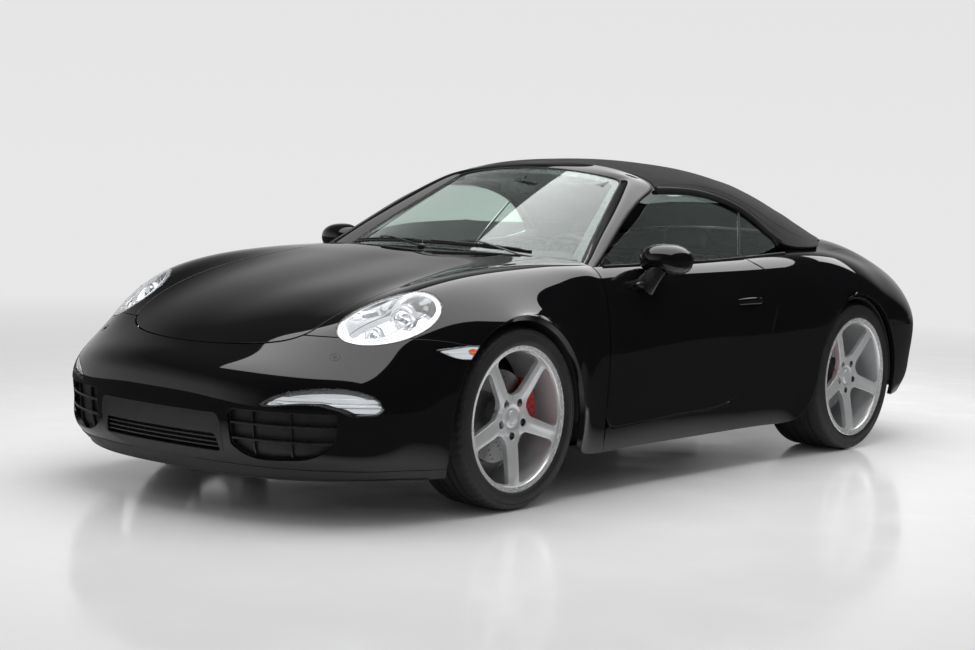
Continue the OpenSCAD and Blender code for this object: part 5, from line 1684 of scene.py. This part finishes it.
for s in (-1, 1):
    sweep(c, along([(4, s*36, -66), (6, s*80, -64), (8, s*120, -60), (10, s*158, -56)], 5),
          oval(6, 4.5, 10), (0, 0, 1), 0, False, np.linspace(0.8, 1.3, 16))
revolve(c, [(33, -42), (46, -46), (50, -60), (50, -106), (34, -110)], 40, 0)
revolve(c, [(33, -42), (33, -110)][::-1], 40, 0)
b = Build()
add_all(b, c, on_column)
made(b, "column_stalks", [SATIN], "black_plastic")

# Gear lever, pedals, cabin mirror and visors.
b = Build()
c = Build()
revolve(c, [(48, 0), (44, 8), (30, 26), (16, 44), (10, 54), (7, 60)], 32, 0)
revolve(c, [(7, 50), (7, 82), (14, 90), (19, 102), (17, 116), (8, 123), (0, 124)], 32, 1)
add_all(b, c, lambda v: v*np.array([1, 1, 0.56]) + np.array([20, 0, 434]))
for y, w in ((300, 46), (384, 60), (462, 46)):
    slab_at(b, (700, y, 330), (-0.8, 0, 0.6), (w, 78, 8), 3, 2, 30)
    sweep(b, along([(704, y, 350), (740, y, 420), (790, y, 470), (868, y, 500)], 4),
          oval(7, 7, 8), (0, 1, 0), 2)
slab_at(b, (236, 0, 1150), (-0.95, 0.2, -0.2), (226, 62, 30), 13, 1, 14)
slab_at(b, (221, 3, 1147), (-0.95, 0.2, -0.2), (204, 48, 3), 1.2, 3, 30)
sweep(b, along([(240, 0, 1160), (222, 0, 1176), (206, 0, 1190), (196, 0, 1203)], 4),
      oval(9, 9, 10), (0, 1, 0), 1)
for s in (-1, 1):
    slab_at(b, (118, s*250, 1186), (0.3, 0, 1), (300, 124, 16), 6, 4, 40, (1, 0, 0))
made(b, "cabin_fittings", [LEATHER, SATIN, STEEL, MIRROR_GLASS, LINING], "black_plastic")

# Carpet and inner trim of the tub.
b = Build()
for s in (-1, 1):
    lo, hi = (112, 654) if s > 0 else (-654, -112)
    block(b, (-752, lo, 190), (876, hi, 196), 2)
    block(b, (-752, s*113 - 2, 192), (872, s*113 + 2, 378), 1.5)
    block(b, (-735, min(s*650, s*654), 192), (690, max(s*650, s*654), 243), 1.5)
block(b, (868, -450, 192), (878, 450, 700), 2)
block(b, (-752, -112, 377), (-262, 112, 382), 2)
block(b, (-992, -586, 428), (-756, 586, 432), 1.5)
block(b, (-994, -586, 430), (-990, 586, 850), 1.5)
made(b, "carpet", [CARPET], "canvas")

# Door cards with an armrest, a pocket, a pull and a speaker ring.
CARD = [[596, 808], [598, 340], [560, 326], [-60, 326], [-128, 340], [-196, 392], [-284, 470],
        [-288, 808]]
x, z = np.meshgrid(np.linspace(606, -296, 76), np.linspace(318, 814, 50), indexing="ij")
arm = np.exp(-((z - 590)/32)**4)*np.clip((x + 168)/60, 0, 1)*np.clip((372 - x)/110, 0, 1)
pocket = np.exp(-((z - 398)/46)**4)*np.clip((x + 60)/80, 0, 1)*np.clip((560 - x)/80, 0, 1)
card = np.stack([x, 690 - 46*arm - 22*pocket - 5*np.exp(-((z - 800)/20)**2), z], -1)
b = Build()
shell(b, card, grid_normals(card), [side(CARD)], thick=8, r=3, mats=(0, 0))
INSERT = [[540, 770], [548, 660], [380, 640], [-150, 640], [-226, 690], [-236, 770]]
shell(b, card, grid_normals(card), [side(INSERT)], top=2.5, thick=3, r=2, mats=(1, 1))
sweep(b, along([(-284, 706, 812), (0, 708, 814), (300, 708, 814), (592, 706, 812)], 4),
      oval(20, 9, 14), (0, 0, 1), 1)
sweep(b, along([(330, 676, 640), (290, 664, 662), (230, 664, 672), (170, 672, 676)], 4),
      oval(5, 8, 10), (0, 1, 0), 2)
sweep(b, along([(-150, 640, 608), (0, 636, 612), (180, 636, 612), (330, 652, 606)], 4),
      oval(4, 3, 8), (0, 0, 1), 2)
c = Build()
revolve(c, [(0, 1), (62, 1), (66, 4), (72, 4), (75, 0)][::-1], 48, 3)
add_all(b, c, lambda v: v @ frame_of((0, -1, 0)) + np.array([430, 683, 470]))
left_card = b.object("left_door_card", [DASH, LEATHER, ALLOY, BLACK])
right_card = mirrored(left_card, "right_door_card")
place(left_card, "left_door", "dash")
place(right_card, "right_door", "dash")
# ---------------------------------------------------------------- carried-over CAD pieces
UNDERCOAT = plastic_material("undercoat", (0.02, 0.02, 0.02), 0.85, 160.0, 0.5)
for names, material, edge in (
        (("floor_pan",), UNDERCOAT, 0.0015),
        (("engine",), ENGINE, 0.012),
        (("exhaust",), STEEL, 0.004),
        (("suspension", "front_left_knuckle", "front_right_knuckle"), DARK_METAL, 0.003),
        # The calipers' red is dimmed as painted shade.
        (("front_left_caliper", "front_right_caliper", "rear_calipers"), RED, 0.004)):
    for name in names:
        ob = frame["nodes"][name]
        ob.data.materials.clear()
        ob.data.materials.append(material)
        m = ob.modifiers.new("edges", "BEVEL")
        m.width = edge
        m.segments = 2
        m.limit_method = "ANGLE"
        m.angle_limit = math.radians(40)
        m.harden_normals = True


# ---------------------------------------------------------------- studio
EYE, LENS = (6.542, 5.0476, 1.2242), 69.35
YAW, PITCH, ROLL = 3.8307, -0.0824, 0.0362
SKY, DIM = 0.80, 0.06


def camera():
    """From ahead on the left, a little above the lamps."""
    yaw, pitch, roll = YAW, PITCH, ROLL
    look = Vector((math.cos(pitch)*math.cos(yaw), math.cos(pitch)*math.sin(yaw),
                   math.sin(pitch)))
    right_v = look.cross(Vector((0, 0, 1))).normalized()
    up = right_v.cross(look)
    r2 = right_v*math.cos(roll) + up*math.sin(roll)
    u2 = -right_v*math.sin(roll) + up*math.cos(roll)
    data = bpy.data.cameras.new("view")
    cam = bpy.data.objects.new("view", data)
    bpy.context.scene.collection.objects.link(cam)
    cam.matrix_world = Matrix((*((r2[k], u2[k], -look[k], EYE[k]) for k in range(3)),
                               (0, 0, 0, 1)))
    data.lens = LENS
    data.sensor_width = 36
    data.clip_end = 200
    bpy.context.scene.camera = cam


def softbox(name, at, to, size, power, colour=(1, 1, 1)):
    data = bpy.data.lights.new(name, "AREA")
    data.shape = "RECTANGLE"
    data.size, data.size_y = size
    data.energy = power
    data.color = colour
    ob = bpy.data.objects.new(name, data)
    bpy.context.scene.collection.objects.link(ob)
    ob.location = at
    ob.rotation_euler = (Vector(to) - Vector(at)).to_track_quat("-Z", "Y").to_euler()
    return ob


def mixed(nodes, link, factor, a, b):
    n = nodes.new("ShaderNodeMixShader")
    link.new(factor, n.inputs[0])
    link.new(a, n.inputs[1])
    link.new(b, n.inputs[2])
    return n.outputs[0]


def world():
    """Pale to the eye and through glass, a darker studio in reflections."""
    w = bpy.data.worlds.new("studio")
    bpy.context.scene.world = w
    w.use_nodes = True
    nodes, link = w.node_tree.nodes, w.node_tree.links
    nodes.clear()
    o = nodes.new("ShaderNodeOutputWorld")
    t = nodes.new("ShaderNodeTexCoord")
    sep = nodes.new("ShaderNodeSeparateXYZ")
    link.new(t.outputs["Generated"], sep.inputs[0])

    def background(value, strength=1.0):
        n = nodes.new("ShaderNodeBackground")
        if isinstance(value, float):
            n.inputs[0].default_value = (value, value, value, 1)
        else:
            link.new(value, n.inputs[0])
        n.inputs[1].default_value = strength
        return n.outputs[0]

    def stops(source, *pairs):
        r = nodes.new("ShaderNodeValToRGB")
        e = r.color_ramp.elements
        while len(e) < len(pairs):
            e.new(0.5)
        for k, (pos, v) in zip(e, pairs):
            k.position, k.color = pos, (v, v, v, 1)
        link.new(source, r.inputs[0])
        return r.outputs[0]

    path = nodes.new("ShaderNodeLightPath")
    eye = background(stops(sep.outputs["Z"], (0.0, 0.80), (0.25, 0.76), (1.0, 0.70)))
    # Reflections: bright wall low down away from the viewer's side, dim overhead.
    low = stops(sep.outputs["Z"], (0.0, 0.64), (0.20, 0.56), (0.40, 0.25), (0.60, 0.05))
    away = nodes.new("ShaderNodeMath")
    away.operation = "MULTIPLY_ADD"
    link.new(sep.outputs["Y"], away.inputs[0])
    away.inputs[1].default_value, away.inputs[2].default_value = -0.5, 0.5
    fade = stops(away.outputs[0], (0.52, 0.01), (0.75, 1.0))
    mul = nodes.new("ShaderNodeMix")
    mul.data_type, mul.blend_type = "RGBA", "MULTIPLY"
    mul.inputs["Factor"].default_value = 1
    link.new(low, mul.inputs["A"])
    link.new(fade, mul.inputs["B"])
    gloss = background(mul.outputs["Result"])
    soft = background(0.55)
    a = mixed(nodes, link, path.outputs["Is Glossy Ray"], soft, gloss)
    see = nodes.new("ShaderNodeMath")
    see.operation = "MAXIMUM"
    link.new(path.outputs["Is Camera Ray"], see.inputs[0])
    link.new(path.outputs["Is Transmission Ray"], see.inputs[1])
    link.new(mixed(nodes, link, see.outputs[0], a, eye), o.inputs[0])


def floor():
    bm = bmesh.new()
    rings, seg = 40, 96
    grid = []
    for i in range(rings + 1):
        r = 40.0*(i/rings)**2
        grid.append([bm.verts.new((r*math.cos(2*math.pi*k/seg), r*math.sin(2*math.pi*k/seg), 0))
                     for k in range(seg)])
    for i in range(rings):
        for k in range(seg):
            q = [grid[i][k], grid[i+1][k], grid[i+1][(k+1) % seg], grid[i][(k+1) % seg]]
            bm.faces.new(q)
    bmesh.ops.remove_doubles(bm, verts=bm.verts, dist=1e-6)
    me = bpy.data.meshes.new("studio_floor")
    bm.to_mesh(me)
    bm.free()
    ob = bpy.data.objects.new("studio_floor", me)
    bpy.context.scene.collection.objects.link(ob)
    m = new_material("floor_paint", (0.86, 0.86, 0.86), 0.14, Specular_IOR_Level=0.5)
    f = texture(m, "Noise", 3.0, Detail=5).outputs["Fac"]
    vary(m, f, "Roughness", [(0.3, 0.08), (0.75, 0.2)])
    nodes, link = links(m)
    s = shader_of(m)
    o = next(n for n in nodes if n.type == "OUTPUT_MATERIAL")
    t = nodes.new("ShaderNodeTexCoord")
    ln = nodes.new("ShaderNodeVectorMath")
    ln.operation = "LENGTH"
    link.new(t.outputs["Object"], ln.inputs[0])
    path = nodes.new("ShaderNodeLightPath")
    far = ramp(m, math_node(m, "DIVIDE", ln.outputs["Value"], 12.0), [(0.27, 0.0), (0.75, 1.0)])
    sky = nodes.new("ShaderNodeEmission")
    sky.inputs[0].default_value = (SKY, SKY, SKY, 1)
    dim = nodes.new("ShaderNodeEmission")
    dim.inputs[0].default_value = (DIM, DIM, DIM, 1)
    beyond = mixed(nodes, link, path.outputs["Is Glossy Ray"], sky.outputs[0], dim.outputs[0])
    # In the paint, the lit floor ends a step away from the car.
    reach = nodes.new("ShaderNodeVectorMath")
    reach.operation = "LENGTH"
    link.new(coords(m, (1/5.2, 1/2.7, 0)), reach.inputs[0])
    outside = math_node(m, "MULTIPLY", ramp(m, reach.outputs["Value"], [(0.5, 0.0), (0.625, 1.0)]),
                        path.outputs["Is Glossy Ray"])
    near = mixed(nodes, link, outside, s.outputs[0], dim.outputs[0])
    link.new(mixed(nodes, link, far, near, beyond), o.inputs[0])
    me.materials.append(m)


camera()
world()
floor()
softbox("overhead", (-1.1, 0.15, 3.6), (-1.1, 0.15, 0), (7.8, 4.0), 275)
# A small light behind the car, seen only in the paint.
glint = softbox("rear_glint", (-6.9, -0.1, 3.5), (-1.25, 0.8, 0.8), (1.3, 1.0), 9)
glint.visible_diffuse = False
bpy.context.scene.view_settings.view_transform = "Standard"
